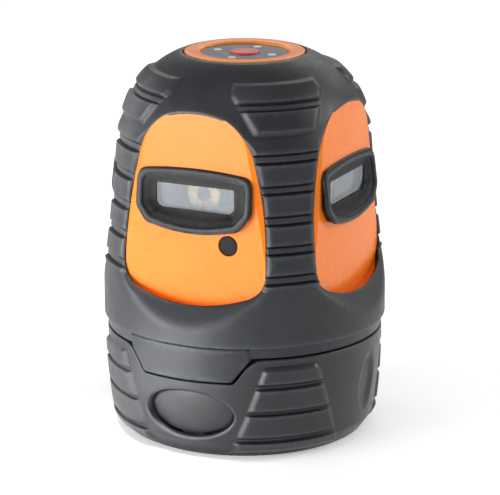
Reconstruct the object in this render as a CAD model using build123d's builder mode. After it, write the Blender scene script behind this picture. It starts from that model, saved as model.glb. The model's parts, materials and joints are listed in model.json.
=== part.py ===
"""Line laser level: a self-levelling head with four laser windows, clipped onto a battery base.

Millimetres, +Z up. The origin is the middle of the underside. The front panel, the one with
the small mode button, faces -Y.
"""
import os
from math import cos, radians, sin, sqrt, tan

from build123d import *

# Overall form of the head
SKIRT_R = 62.0
SKIRT_BOTTOM = 51.4
SKIRT_TOP = 78.0
SKIRT_EDGE = 1.0
SIDE_TOP = 135.0
DOME_CENTRE_R = 14.7
DOME_CENTRE_Z = 130.7
DOME_R = 41.0
TOTAL_H = 168.3

# Rubber jacket
GROOVE_DEPTH = 1.8
GROOVE_SPANS = ((78.8, 83.2), (91.4, 95.7), (103.9, 108.4), (117.0, 121.2), (129.9, 134.4))
GROOVE_SLOPE = 0.5
FADE_TOP = 143.0
DOME_MID = (42.7, 158.7)
JACKET_HOLE_R = 26.9
JACKET_TOP = 168.1
SHELL_INSET = 4.4
SHIELD_TOP = 162.7
SHIELD_BOTTOM = 142.3
SHIELD_HALF_TOP = 21.0
SHIELD_HALF_BOTTOM = 13.7
SHIELD_GROOVE = (151.6, 155.4)
SHIELD_CORNER = (2.6, 4.0)

# Orange housing with its four flattened panels
PANEL_DIST = 51.1
PANEL_BULGE_R = 600.0
PANEL_LEAN = 1.75
SHELL_BOTTOM = 51.0
SHELL_TOP = 163.3
SHELL_WALL = 2.6
PANEL_GAP = 0.45
PANEL_FOOT = 66.5
PANEL_FOOT_END = (25.0, 71.0)
PANEL_CORNER = (31.0, 75.2)
PANEL_SIDE_LOW = (33.0, 82.0)
PANEL_SIDE_MID = (31.3, 108.5)
PANEL_SIDE_HIGH = (26.0, 133.0)
PANEL_SHOULDER = (21.4, 141.6)
PANEL_BROW = (14.0, 147.6)
PANEL_APEX = 150.0
LEDGE_LOW = 58.9
LEDGE_HEAD = 77.6
LEDGE_STEEP = 1.6
LEDGE_HALF = 38.0

# Windows
LENS_Z = 113.0
RIM_HALF = 27.0
RIM_TOP = 126.1
RIM_TOP_END = 124.9
RIM_SIDE_LOW = 108.0
RIM_LOW_HALF = 21.5
RIM_LOW_END = 100.6
RIM_BOTTOM = 98.2
RIM_DIST_LOW = 53.4
RIM_DIST_HIGH = 49.9
RIM_WIDTH = 3.2
RIM_CORNER = 6.0
NECK_HALF = 23.0
NECK_SPAN = (104.2, 124.4)
NECK_BACK = 44.0
NECK_FRONT = 49.8
OPENING_HALF = 18.4
OPENING_SPAN = (107.7, 118.5)
OPENING_CORNER = 1.2
GLASS_FRONT = 48.6
GLASS_T = 2.0
GLASS_HALF = 20.3
GLASS_SPAN = (106.5, 119.8)
GASKET_T = 0.6

# Top controls
RING_R = 26.2
RING_HOLE_R = 19.2
RING_LEDGE_R = 17.2
RING_ROUND = 0.5
PAD_R = 19.0
PAD_TOP = 167.0
PAD_T = 1.6
POWER_R = 6.4
POWER_TOP = 167.8
POWER_TRAVEL = 1.0
POWER_FLANGE_W = 1.6
POWER_ROUND = 0.7
SPOT_R = 1.9
SPOT_CIRCLE = 13.0
SPOT_PROUD = 0.3
KEY_HOLE_R = 21.0
KEY_BOARD_R = 25.0
KEY_SCREW_CIRCLE = 23.0
KEY_SCREW_R = 1.1
KEY_SCREW_HEAD = 1.3
KEY_SCREW_BITE = 2.0
BOARD_T = 1.6
SWITCH_SIDE = 6.0
SWITCH_PLUNGER_R = 1.7
SWITCH_BODY_H = 1.8
SWITCH_H = 2.5

# Mode button on the front panel
MODE_U = 15.7
MODE_Z = 94.1
MODE_R = 4.2
MODE_FACE = 49.25
MODE_FLANGE_R = 5.6
MODE_FLANGE_T = 1.0
MODE_ROUND = 0.6
MODE_BACK = 44.2
MODE_TRAVEL = 1.2
MODE_SWITCH_H = 3.5
MODE_PLUNGER = 0.9
MODE_BOARD_DROP = 0.5
MODE_BOARD = (17.0, 13.0)
MODE_PEG_OFFSET = (6.3, 5.0)
MODE_PEG_R = 1.6
MODE_PEG_L = 8.2

# Base
BASE_TOP = 46.0
BASE_TOP_R = 60.6
BASE_MID = (59.3, 27.0)
BASE_LOW = (56.9, 7.0)
BASE_BEVEL = (53.0, 1.4)
BASE_WALL = 3.4
BASE_FLOOR = 5.0
TREAD_H = 1.6
TREAD_TOP = 42.5
TREAD_LOW = 3.0
TREAD_HALF_TOP = 12.1
TREAD_HALF_LOW = 24.5
TREAD_GROOVES = ((32.5, 35.4), (20.7, 23.1), (8.0, 10.9))
SCOOP_Z = 26.0
SCOOP_HALF_H = 14.5
SCOOP_HALF_W = 7.5
SCOOP_DEPTH = 1.6
LEDGE_Z = (37.5, 41.0)
LEDGE_R = 52.0
FOOT_R = (43.5, 51.0)
FOOT_T = 3.0

# Front tab of the head and its notch in the base
TAB_R = (58.2, 61.4)
TAB_HALF_TOP = 27.9
TAB_HALF_LOW = 20.6
TAB_LOW = 36.2
TAB_BEVEL = 0.9
NOTCH_GAP = 1.05
NOTCH_ROUND = 6.5

# Release button in the front of the base
OVAL_Z = 20.0
OVAL_HALF_W = 20.2
OVAL_HALF_H = 10.0
OVAL_SLIT = 0.8
OVAL_SINK = 3.0
OVAL_T = 2.2
PIVOT_Y = -51.0
PIVOT_Z = 33.0
PIVOT_R = 1.2
RUN_CLEAR = 0.05
LUG_X = (9.0, 12.6)
LUG_HALF_Y = 2.2
LUG_FRONT = -53.6
LUG_RISE = (2.0, 5.0, 8.0)
EAR_X = (13.0, 16.5)
EAR_Y = -52.0
EAR_SIZE = (6.4, 5.0)
PIN_END = 0.4
RIB_BACK = -52.0
RIB_SIZE = (8.0, 2.6, 6.0)
RIB_DROP = 3.0

# Leaf spring that latches the head
LEAF_BACK = -51.0
LEAF_T = 0.6
LEAF_HALF = 5.0
LEAF_TOP = 43.3
LEAF_FOOT = -37.5
LEAF_SCREW_Y = -41.0
LEAF_SCREW_R = 1.2
LEAF_SCREW_HEAD = 1.2
LEAF_SCREW_L = 2.8
NOSE_TIP = -59.6
POCKET_Z = (41.0, 44.6)
POCKET_HALF = 7.0
POCKET_R = 59.9

# Head floor
FLOOR_Z = (47.0, 50.0)
COLLAR_R = (60.2, 61.1)
COLLAR_BORE = 57.7
SPIGOT_R = (53.6, 56.4)
SPIGOT_LOW = 41.2
TAB_SLOT_HALF = 17.0
TAB_SLOT_DEEP = 12.0
SUPPLY_PIN_R = 2.0
SUPPLY_PAD_R = 3.4
SUPPLY_PAD_T = 1.6
PIN_COLLAR = 1.2
PIN_HEAD = 2.0
PIN_ROUND = 0.8
PIN_FOOT = 36.0
PILLAR_TOP = 34.0

# Screws
SCREW_R = 1.5
SCREW_HEAD_R = 2.8
SCREW_HEAD_H = 1.6
SCREW_CROSS = (3.2, 0.7, 0.9)
SCREW_BITE = 9.0
SCREW_CIRCLE = 51.0
BOSS_R = 4.0
BOSS_OVER = 5.0

# Batteries
CELL_R = 7.25
CELL_L = 50.5
CELL_PITCH = 15.0
CELL_COUNT = 4
TRAY_FLOOR = (16.0, 17.6)
TRAY_WALL = 1.8
TRAY_TOP = 31.0
CONTACT_T = 0.5
CONTACT_ROOM = 1.0
CONTACT_W = 11.0
DIMPLE_R = 2.5
NUB_R = 2.7
NUB_L = 1.0
TRAY_EAR = (35.5, 14.0)

# Tripod thread, 5/8 inch with 11 turns to the inch, drawn at its minor radius
THREAD_R = 6.72
INSERT_R = 11.0
INSERT_TOP = 14.6
INSERT_FLANGE_R = 14.0
INSERT_FLANGE_T = 2.0

# Pendulum and its gimbal
PIVOT_H = 138.0
POST_CIRCLE = 38.0
POST_R = 3.5
POST_FOOT_R = 5.0
MAIN_BOARD_Z = 80.0
MAIN_BOARD_R = 43.0
MAIN_BOARD_HOLE = 16.0
MAIN_BLOCKS = ((0, 30, 16, 12, 3), (29, 0, 9, 9, 2), (-29, 0, 8, 14, 5))
BRIDGE_Z = (147.0, 150.0)
BRIDGE_R = 41.5
BRIDGE_HOLE_R = 10.0
HANGER_X = (28.2, 33.0)
HANGER_HALF = 7.0
RING_GIMBAL_R = (18.6, 25.0)
RING_GIMBAL_HALF = 6.0
AXLE_R = 2.0
AXLE_BEARING_R = 4.5
INNER_AXLE_R = 1.5
INNER_BEARING_R = 4.0
BEARING_W = 4.2
BLOCK_HALF = 16.0
BLOCK_Z = (101.0, 125.0)
MODULE_R = 8.5
MODULE_BACK = 10.0
MODULE_FRONT = 40.4
LENS_R = 3.15
LENS_SEAT = 2.0
LENS_PROUD = 0.3
AIM_SCREW_DROP = 6.3
AIM_SCREW_R = 1.0
MODULE_BEVEL = 1.0
HANG_HALF = (8.0, 15.0, 7.0)
STEM_R = 7.0
TAIL_R = 5.0
TRIM_Z = 92.0
TRIM_SPAN = (3.0, 13.0)
TRIM_R = 1.25
TRIM_HEAD_R = 2.4
TRIM_HEAD_L = 2.0
PIN_SINK = 9.0
DISC_R = 20.0
DISC_Z = (60.0, 64.0)
MAGNET_R = 6.5
MAGNET_CIRCLE = 13.0
MAGNET_H = 5.0
HOLDER_H = 3.0
HOLDER_RIM = 2.0

# Fits, and the starts and lengths of cuts that run right through
FIT = 0.1
BOSS_FIT = 0.2
KEY_FIT = 0.25
MODE_FIT = 0.3
PRISM_START = 30.0
PRISM_L = 40.0
WALL_CUT = (40.0, 20.0)
TAB_CUT = (50.0, 20.0)
BASE_CUT = (45.0, 25.0)
FLOOR_CUT = 20.0
AXLE_CUT = 40.0
HINGE_CUT = 20.0

FACES = {"front": 0, "right": 90, "rear": 180, "left": 270}
CORNERS = (45, 135, 225, 315)


def facing(angle, distance=0.0):
    """Upright plane seen from one side of the object: X runs to the right, Y up, Z outwards."""
    turn = radians(angle)
    outward = Vector(sin(turn), -cos(turn), 0)
    return Plane(origin=outward * distance, x_dir=(cos(turn), sin(turn), 0), z_dir=outward)


def around(radius, angle, height):
    """Point at a radius and a direction, with 0 degrees at the front."""
    turn = radians(angle)
    return (radius * sin(turn), -radius * cos(turn), height)


def dome_r(height, inset=0.0):
    """Radius of the dome's round shoulder at a height."""
    return DOME_CENTRE_R + sqrt((DOME_R - inset) ** 2 - (height - DOME_CENTRE_Z) ** 2)


def side_r(height):
    """Radius of the head's leaning side at a height."""
    share = (height - SKIRT_TOP) / (SIDE_TOP - SKIRT_TOP)
    return SKIRT_R + share * (dome_r(SIDE_TOP) - SKIRT_R)


def save(piece, label):
    """Name a finished piece and write its file."""
    piece.part.label = label
    export_step(piece.part, f"parts/{label}.step")


os.makedirs("parts", exist_ok=True)


# Working shapes that several pieces are cut from

def turned_head(inset, bottom, top):
    """Head turned about its axis without grooves, set in by a distance, flat above and below."""
    middle = (SIDE_TOP + top) / 2 + 4
    with BuildPart() as turned:
        with BuildSketch(Plane.XZ):
            with BuildLine():
                Polyline(
                    (0, top),
                    (0, bottom),
                    (SKIRT_R - inset, bottom),
                    (SKIRT_R - inset, SKIRT_TOP),
                    (dome_r(SIDE_TOP, inset), SIDE_TOP),
                )
                ThreePointArc(
                    (dome_r(SIDE_TOP, inset), SIDE_TOP),
                    (dome_r(middle, inset), middle),
                    (dome_r(top, inset), top),
                )
                Line((dome_r(top, inset), top), (0, top))
            make_face()
        revolve(axis=Axis.Z)
    return turned.part


def draw_section(flat):
    """Square with four bulged sides in an open sketch, given the distance of its sides."""
    corner = flat - flat**2 / (2 * PANEL_BULGE_R)
    with BuildLine() as border:
        ThreePointArc((-corner, -corner), (0, -flat), (corner, -corner))
        ThreePointArc((corner, -corner), (flat, 0), (corner, corner))
        ThreePointArc((corner, corner), (0, flat), (-corner, corner))
        ThreePointArc((-corner, corner), (-flat, 0), (-corner, -corner))
    make_face(border.edges())


def four_panels(inset):
    """Leaning block whose four sides are the slightly bulged panels, set in by a distance."""
    with BuildPart() as block:
        for height in (SHELL_BOTTOM, SHELL_TOP):
            with BuildSketch(Plane.XY.offset(height)):
                draw_section(PANEL_DIST - inset - (height - SHELL_BOTTOM) * tan(radians(PANEL_LEAN)))
        loft(ruled=True)
    return block.part


def panel_prisms(grow):
    """Four bars along the panel directions with the panels' outline, made larger by a gap."""
    lean = 0.7 * grow
    foot = (PANEL_FOOT_END[0] + lean / 2, PANEL_FOOT_END[1] - grow)
    corner = (PANEL_CORNER[0] + lean, PANEL_CORNER[1] - lean)
    low = (PANEL_SIDE_LOW[0] + grow, PANEL_SIDE_LOW[1])
    middle = (PANEL_SIDE_MID[0] + grow, PANEL_SIDE_MID[1])
    high = (PANEL_SIDE_HIGH[0] + grow, PANEL_SIDE_HIGH[1])
    shoulder = (PANEL_SHOULDER[0] + lean, PANEL_SHOULDER[1] + lean)
    brow = (PANEL_BROW[0] + lean / 2, PANEL_BROW[1] + grow)
    with BuildPart() as bars:
        with BuildSketch(*[facing(angle, PRISM_START) for angle in FACES.values()]):
            with BuildLine():
                ThreePointArc((-foot[0], foot[1]), (0, PANEL_FOOT - grow), foot)
                ThreePointArc((-brow[0], brow[1]), (0, PANEL_APEX + grow), brow)
                for sign in (1, -1):
                    ThreePointArc(
                        (sign * foot[0], foot[1]), (sign * corner[0], corner[1]), (sign * low[0], low[1])
                    )
                    ThreePointArc(
                        (sign * low[0], low[1]), (sign * middle[0], middle[1]), (sign * high[0], high[1])
                    )
                    ThreePointArc(
                        (sign * high[0], high[1]),
                        (sign * shoulder[0], shoulder[1]),
                        (sign * brow[0], brow[1]),
                    )
            make_face()
        extrude(amount=PRISM_L)
    return bars.part


def ledge_cutters():
    """Four wedges that slope the rubber in from the skirt, up to the foot of each panel."""
    inner = SKIRT_R - (LEDGE_HEAD - LEDGE_LOW) / LEDGE_STEEP
    with BuildPart() as wedges:
        for angle in FACES.values():
            front = facing(angle, 0)
            with BuildSketch(Plane(origin=(0, 0, 0), x_dir=front.z_dir, z_dir=-front.x_dir)):
                with BuildLine():
                    Polyline(
                        (SKIRT_R, LEDGE_LOW),
                        (inner, LEDGE_HEAD),
                        (SKIRT_R + 5, LEDGE_HEAD),
                        (SKIRT_R + 5, LEDGE_LOW),
                        close=True,
                    )
                make_face()
            extrude(amount=LEDGE_HALF, both=True)
    return wedges.part


head_limit = turned_head(GROOVE_DEPTH, SHELL_BOTTOM, SHELL_TOP)
under_rubber = turned_head(SHELL_INSET, SHELL_BOTTOM, SHELL_TOP)
panel_block = four_panels(0)

# The housing as if it were solid: its outside is what the jacket and the bezels lie on
with BuildPart() as housing_block:
    add(panel_prisms(0))
    add(head_limit, mode=Mode.INTERSECT)
    add(under_rubber)
    add(panel_block, mode=Mode.INTERSECT)

# Rubber jacket over the housing, open at the panels and round the top ring

with BuildPart() as shields:
    with BuildSketch(*[facing(angle, PRISM_START) for angle in CORNERS]):
        with BuildLine():
            Polyline(
                (-SHIELD_HALF_BOTTOM, SHIELD_BOTTOM),
                (SHIELD_HALF_BOTTOM, SHIELD_BOTTOM),
                (SHIELD_HALF_TOP, SHIELD_TOP - SHIELD_CORNER[1]),
                (SHIELD_HALF_TOP - SHIELD_CORNER[0], SHIELD_TOP),
                (-SHIELD_HALF_TOP + SHIELD_CORNER[0], SHIELD_TOP),
                (-SHIELD_HALF_TOP, SHIELD_TOP - SHIELD_CORNER[1]),
                close=True,
            )
        make_face()
    extrude(amount=PRISM_L)
    with Locations((0, 0, sum(SHIELD_GROOVE) / 2)):
        Cylinder(SKIRT_R, SHIELD_GROOVE[1] - SHIELD_GROOVE[0], mode=Mode.SUBTRACT)
    add(turned_head(0, SHELL_BOTTOM, SHELL_TOP), mode=Mode.INTERSECT)

with BuildPart() as rubber_jacket:
    edge_r = SKIRT_R - SKIRT_EDGE * 0.9
    fade_r = dome_r(FADE_TOP, GROOVE_DEPTH)
    with BuildSketch(Plane.XZ):
        with BuildLine():
            Line((0, JACKET_TOP), (0, SKIRT_BOTTOM))
            Line((0, SKIRT_BOTTOM), (edge_r, SKIRT_BOTTOM))
            RadiusArc((edge_r, SKIRT_BOTTOM), (SKIRT_R, SKIRT_BOTTOM + SKIRT_EDGE), -SKIRT_EDGE)
            outline = [(SKIRT_R, SKIRT_BOTTOM + SKIRT_EDGE), (SKIRT_R, SKIRT_TOP)]
            for low, high in GROOVE_SPANS:
                outline.append((side_r(low), low))
                outline.append((side_r(low + GROOVE_SLOPE) - GROOVE_DEPTH, low + GROOVE_SLOPE))
                outline.append((side_r(high - GROOVE_SLOPE) - GROOVE_DEPTH, high - GROOVE_SLOPE))
                outline.append((side_r(high), high))
            outline.append((fade_r, FADE_TOP))
            Polyline(*outline)
            ThreePointArc((fade_r, FADE_TOP), DOME_MID, (JACKET_HOLE_R, JACKET_TOP))
            Line((JACKET_HOLE_R, JACKET_TOP), (0, JACKET_TOP))
        make_face()
    revolve(axis=Axis.Z)
    add(shields.part)
    add(ledge_cutters(), mode=Mode.SUBTRACT)
    add(panel_prisms(PANEL_GAP), mode=Mode.SUBTRACT)
    add(housing_block.part, mode=Mode.SUBTRACT)
    with Locations((0, 0, SHELL_TOP)):
        Cylinder(JACKET_HOLE_R, FLOOR_CUT, align=(Align.CENTER, Align.CENTER, Align.MIN), mode=Mode.SUBTRACT)
save(rubber_jacket, "rubber_jacket")

# Window bezels with their glass and gaskets

def draw_window(half, low_half, top, top_end, side_low, low_end, bottom, corner):
    """Window outline in an open sketch: arched top, upright sides, cut lower corners, bowed foot."""
    with BuildLine() as border:
        ThreePointArc((half, top_end), (0, top), (-half, top_end))
        Line((-half, top_end), (-half, side_low))
        Line((-half, side_low), (-low_half, low_end))
        ThreePointArc((-low_half, low_end), (0, bottom), (low_half, low_end))
        Line((low_half, low_end), (half, side_low))
        Line((half, side_low), (half, top_end))
    make_face(border.edges())
    fillet(vertices(), corner)


def draw_rim(inset, datum=0.0):
    """Outline of a bezel's rim, set in by a distance, with heights measured from a datum."""
    draw_window(
        RIM_HALF - inset,
        RIM_LOW_HALF - inset * 0.7,
        RIM_TOP - inset - datum,
        RIM_TOP_END - inset - datum,
        RIM_SIDE_LOW + inset * 0.4 - datum,
        RIM_LOW_END + inset - datum,
        RIM_BOTTOM + inset - datum,
        RIM_CORNER - inset * 0.6,
    )


def rim_plane(angle, rise=0.0):
    """Leaning plane of a bezel's rim, with its origin at the middle of the rim's foot."""
    turn = radians(angle)
    lean = (RIM_DIST_LOW - RIM_DIST_HIGH) / (RIM_TOP - RIM_BOTTOM)
    outward = Vector(sin(turn), -cos(turn), lean).normalized()
    foot = Vector(*around(RIM_DIST_LOW, angle, RIM_BOTTOM))
    return Plane(origin=foot + outward * rise, x_dir=(cos(turn), sin(turn), 0), z_dir=outward)


for side, angle in FACES.items():
    with BuildPart() as window_bezel:
        with BuildSketch(facing(angle, NECK_BACK)):
            draw_rim(0)
        extrude(amount=RIM_DIST_LOW - NECK_BACK + 2)
        split(bisect_by=rim_plane(angle), keep=Keep.BOTTOM)
        rim_face = faces().filter_by(rim_plane(angle))
        chamfer(rim_face.edges(), 0.7)
        add(housing_block.part, mode=Mode.SUBTRACT)
        with BuildSketch(facing(angle, NECK_BACK)):
            with Locations((0, sum(NECK_SPAN) / 2)):
                RectangleRounded(2 * NECK_HALF, NECK_SPAN[1] - NECK_SPAN[0], 3)
        extrude(amount=NECK_FRONT - NECK_BACK)
        with BuildSketch(facing(angle, GLASS_FRONT)):
            draw_window(
                OPENING_HALF,
                OPENING_HALF - 2,
                OPENING_SPAN[1],
                OPENING_SPAN[1] - 0.4,
                OPENING_SPAN[0] + 2.2,
                OPENING_SPAN[0] + 0.4,
                OPENING_SPAN[0],
                OPENING_CORNER,
            )
        with BuildSketch(rim_plane(angle, 0.3)):
            draw_rim(RIM_WIDTH, RIM_BOTTOM)
        loft(ruled=True, mode=Mode.SUBTRACT)
        with BuildSketch(facing(angle, NECK_BACK)):
            with Locations((0, sum(GLASS_SPAN) / 2)):
                Rectangle(2 * GLASS_HALF, GLASS_SPAN[1] - GLASS_SPAN[0])
        extrude(amount=GLASS_FRONT - NECK_BACK, mode=Mode.SUBTRACT)
    save(window_bezel, f"window_bezel_{side}")

    with BuildPart() as window_glass:
        with BuildSketch(facing(angle, GLASS_FRONT)):
            with Locations((0, sum(GLASS_SPAN) / 2)):
                Rectangle(2 * GLASS_HALF, GLASS_SPAN[1] - GLASS_SPAN[0])
        extrude(amount=-GLASS_T)
    save(window_glass, f"window_glass_{side}")

with BuildPart() as window_gaskets:
    with BuildSketch(*[facing(angle, GLASS_FRONT - GLASS_T) for angle in FACES.values()]):
        with Locations((0, sum(GLASS_SPAN) / 2)):
            Rectangle(2 * GLASS_HALF, GLASS_SPAN[1] - GLASS_SPAN[0])
            Rectangle(2 * OPENING_HALF, OPENING_SPAN[1] - OPENING_SPAN[0], mode=Mode.SUBTRACT)
    extrude(amount=-GASKET_T)
save(window_gaskets, "window_gaskets")

# Keypad on top: ring, pad, power button, indicator lenses, board and switch

PAD_LOW = PAD_TOP - PAD_T
KEY_BOARD_TOP = SHELL_TOP - SHELL_WALL
SWITCH_TOP = KEY_BOARD_TOP + SWITCH_H
POWER_FLANGE = (SWITCH_TOP + POWER_TRAVEL + FIT, PAD_LOW - 0.4)
SPOTS = [around(SPOT_CIRCLE, angle, 0)[:2] for angle in FACES.values()]
KEY_SCREWS = [around(KEY_SCREW_CIRCLE, angle, 0)[:2] for angle in (0, 120, 240)]

with BuildPart() as keypad_ring:
    with BuildSketch(Plane.XZ):
        with BuildLine():
            Polyline(
                (RING_LEDGE_R, SHELL_TOP),
                (RING_R, SHELL_TOP),
                (RING_R, TOTAL_H),
                (RING_HOLE_R, TOTAL_H),
                (RING_HOLE_R, PAD_LOW),
                (RING_LEDGE_R, PAD_LOW),
                close=True,
            )
        make_face()
    revolve(axis=Axis.Z)
    fillet(edges().group_by(Axis.Z)[-1], RING_ROUND)
save(keypad_ring, "keypad_ring")

with BuildPart() as keypad_pad:
    with BuildSketch(Plane.XY.offset(PAD_LOW)):
        Circle(PAD_R)
        Circle(POWER_R + KEY_FIT, mode=Mode.SUBTRACT)
        with Locations(*SPOTS):
            Circle(SPOT_R + RUN_CLEAR, mode=Mode.SUBTRACT)
    extrude(amount=PAD_T)
save(keypad_pad, "keypad_pad")

with BuildPart() as power_button:
    with BuildSketch(Plane.XY.offset(POWER_FLANGE[0])):
        Circle(POWER_R + POWER_FLANGE_W)
    extrude(amount=POWER_FLANGE[1] - POWER_FLANGE[0])
    with BuildSketch(Plane.XY.offset(POWER_FLANGE[0])):
        Circle(POWER_R)
    extrude(amount=POWER_TOP - POWER_FLANGE[0])
    fillet(edges().group_by(Axis.Z)[-1], POWER_ROUND)
save(power_button, "power_button")

with BuildPart() as indicator_lenses:
    with BuildSketch(Plane.XY.offset(KEY_BOARD_TOP)):
        with Locations(*SPOTS):
            Circle(SPOT_R)
    extrude(amount=PAD_TOP + SPOT_PROUD - KEY_BOARD_TOP)
    fillet(edges().group_by(Axis.Z)[-1], SPOT_PROUD)
save(indicator_lenses, "indicator_lenses")

with BuildPart() as keypad_board:
    with BuildSketch(Plane.XY.offset(KEY_BOARD_TOP)):
        Circle(KEY_BOARD_R)
        with Locations(*KEY_SCREWS):
            Circle(KEY_SCREW_R + BOSS_FIT, mode=Mode.SUBTRACT)
    extrude(amount=-BOARD_T)
save(keypad_board, "keypad_board")

with BuildPart() as power_switch:
    with BuildSketch(Plane.XY.offset(KEY_BOARD_TOP)):
        Rectangle(SWITCH_SIDE, SWITCH_SIDE)
    extrude(amount=SWITCH_BODY_H)
    with BuildSketch(Plane.XY.offset(KEY_BOARD_TOP + SWITCH_BODY_H)):
        Circle(SWITCH_PLUNGER_R)
    extrude(amount=SWITCH_TOP - KEY_BOARD_TOP - SWITCH_BODY_H)
save(power_switch, "power_switch")

with BuildPart() as keypad_screws:
    with BuildSketch(Plane.XY.offset(KEY_BOARD_TOP - BOARD_T)):
        with Locations(*KEY_SCREWS):
            Circle(2 * KEY_SCREW_R)
    extrude(amount=-KEY_SCREW_HEAD)
    with BuildSketch(Plane.XY.offset(KEY_BOARD_TOP - BOARD_T)):
        with Locations(*KEY_SCREWS):
            Circle(KEY_SCREW_R)
    extrude(amount=BOARD_T + KEY_SCREW_BITE)
save(keypad_screws, "keypad_screws")

# Mode button on the front panel, with its switch on a small board

with BuildPart() as mode_button:
    with BuildSketch(facing(0, MODE_BACK)):
        with Locations((MODE_U, MODE_Z)):
            Circle(MODE_FLANGE_R)
    extrude(amount=MODE_FLANGE_T)
    with BuildSketch(facing(0, MODE_BACK)):
        with Locations((MODE_U, MODE_Z)):
            Circle(MODE_R)
    extrude(amount=MODE_FACE - MODE_BACK)
    fillet(edges().group_by(Axis.Y)[0], MODE_ROUND)
save(mode_button, "mode_button")

MODE_SWITCH_FRONT = MODE_BACK - MODE_TRAVEL - FIT
MODE_BOARD_FRONT = MODE_SWITCH_FRONT - MODE_SWITCH_H
MODE_PEGS = [(MODE_U + sign * MODE_PEG_OFFSET[0], MODE_Z - MODE_PEG_OFFSET[1]) for sign in (-1, 1)]

with BuildPart() as mode_switch:
    with BuildSketch(facing(0, MODE_BOARD_FRONT)):
        with Locations((MODE_U, MODE_Z)):
            Rectangle(SWITCH_SIDE, SWITCH_SIDE)
    extrude(amount=MODE_SWITCH_H - MODE_PLUNGER)
    with BuildSketch(facing(0, MODE_SWITCH_FRONT - MODE_PLUNGER)):
        with Locations((MODE_U, MODE_Z)):
            Circle(SWITCH_PLUNGER_R)
    extrude(amount=MODE_PLUNGER)
save(mode_switch, "mode_switch")

with BuildPart() as mode_board:
    with BuildSketch(facing(0, MODE_BOARD_FRONT)):
        with Locations((MODE_U, MODE_Z - MODE_BOARD_DROP)):
            Rectangle(*MODE_BOARD)
    extrude(amount=-BOARD_T)
save(mode_board, "mode_board")

# Orange housing shell, with its window cut-outs, screw bosses and button hole

FLOOR_SCREWS = [around(SCREW_CIRCLE, angle, 0)[:2] for angle in CORNERS]

with BuildPart() as housing_shell:
    add(housing_block.part)
    add(
        four_panels(SHELL_WALL).intersect(
            turned_head(SHELL_INSET + SHELL_WALL, SHELL_BOTTOM, SHELL_TOP - SHELL_WALL)
        ),
        mode=Mode.SUBTRACT,
    )
    with BuildSketch(*[facing(angle, WALL_CUT[0]) for angle in FACES.values()]):
        with Locations((0, sum(NECK_SPAN) / 2)):
            RectangleRounded(2 * NECK_HALF + BOSS_FIT, NECK_SPAN[1] - NECK_SPAN[0] + BOSS_FIT, 3)
    extrude(amount=WALL_CUT[1], mode=Mode.SUBTRACT)
    with BuildSketch(facing(0, WALL_CUT[0])):
        with Locations((MODE_U, MODE_Z)):
            Circle(MODE_R + MODE_FIT)
    extrude(amount=WALL_CUT[1], mode=Mode.SUBTRACT)
    with BuildSketch(Plane.XY.offset(SHELL_TOP)):
        Circle(KEY_HOLE_R)
    extrude(amount=-WALL_CUT[1], mode=Mode.SUBTRACT)
    with BuildSketch(Plane.XY.offset(SHELL_BOTTOM)):
        with Locations(*FLOOR_SCREWS):
            Circle(BOSS_R + BOSS_FIT)
    extrude(amount=SCREW_BITE + BOSS_OVER)
    with Locations(*[(x, y, SHELL_BOTTOM) for x, y in FLOOR_SCREWS]):
        Cylinder(SCREW_R, 2 * SCREW_BITE + 2, mode=Mode.SUBTRACT)
    with BuildSketch(facing(0, MODE_BOARD_FRONT)):
        with Locations(*MODE_PEGS):
            Circle(MODE_PEG_R)
    extrude(amount=MODE_PEG_L)
    with BuildSketch(Plane.XY.offset(KEY_BOARD_TOP)):
        with Locations(*KEY_SCREWS):
            Circle(KEY_SCREW_R)
    extrude(amount=KEY_SCREW_BITE, mode=Mode.SUBTRACT)
save(housing_shell, "housing_shell")

# Head floor: collar, spigot and the seats of the screws, with the front tab and the seal

POST_PLACES = [around(POST_CIRCLE, angle, 0)[:2] for angle in CORNERS]
SUPPLY_PLACES = [(-10.0, 42.0), (10.0, 42.0)]


def tab_outline(grow):
    """Outline of the front tab in an open sketch: wide above the seam, tapering below it."""
    with BuildLine() as border:
        Polyline(
            (-TAB_HALF_LOW - grow, TAB_LOW - grow),
            (TAB_HALF_LOW + grow, TAB_LOW - grow),
            (TAB_HALF_TOP + grow, BASE_TOP),
            (TAB_HALF_TOP + grow, SKIRT_BOTTOM),
            (-TAB_HALF_TOP - grow, SKIRT_BOTTOM),
            (-TAB_HALF_TOP - grow, BASE_TOP),
            close=True,
        )
    make_face(border.edges())


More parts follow.
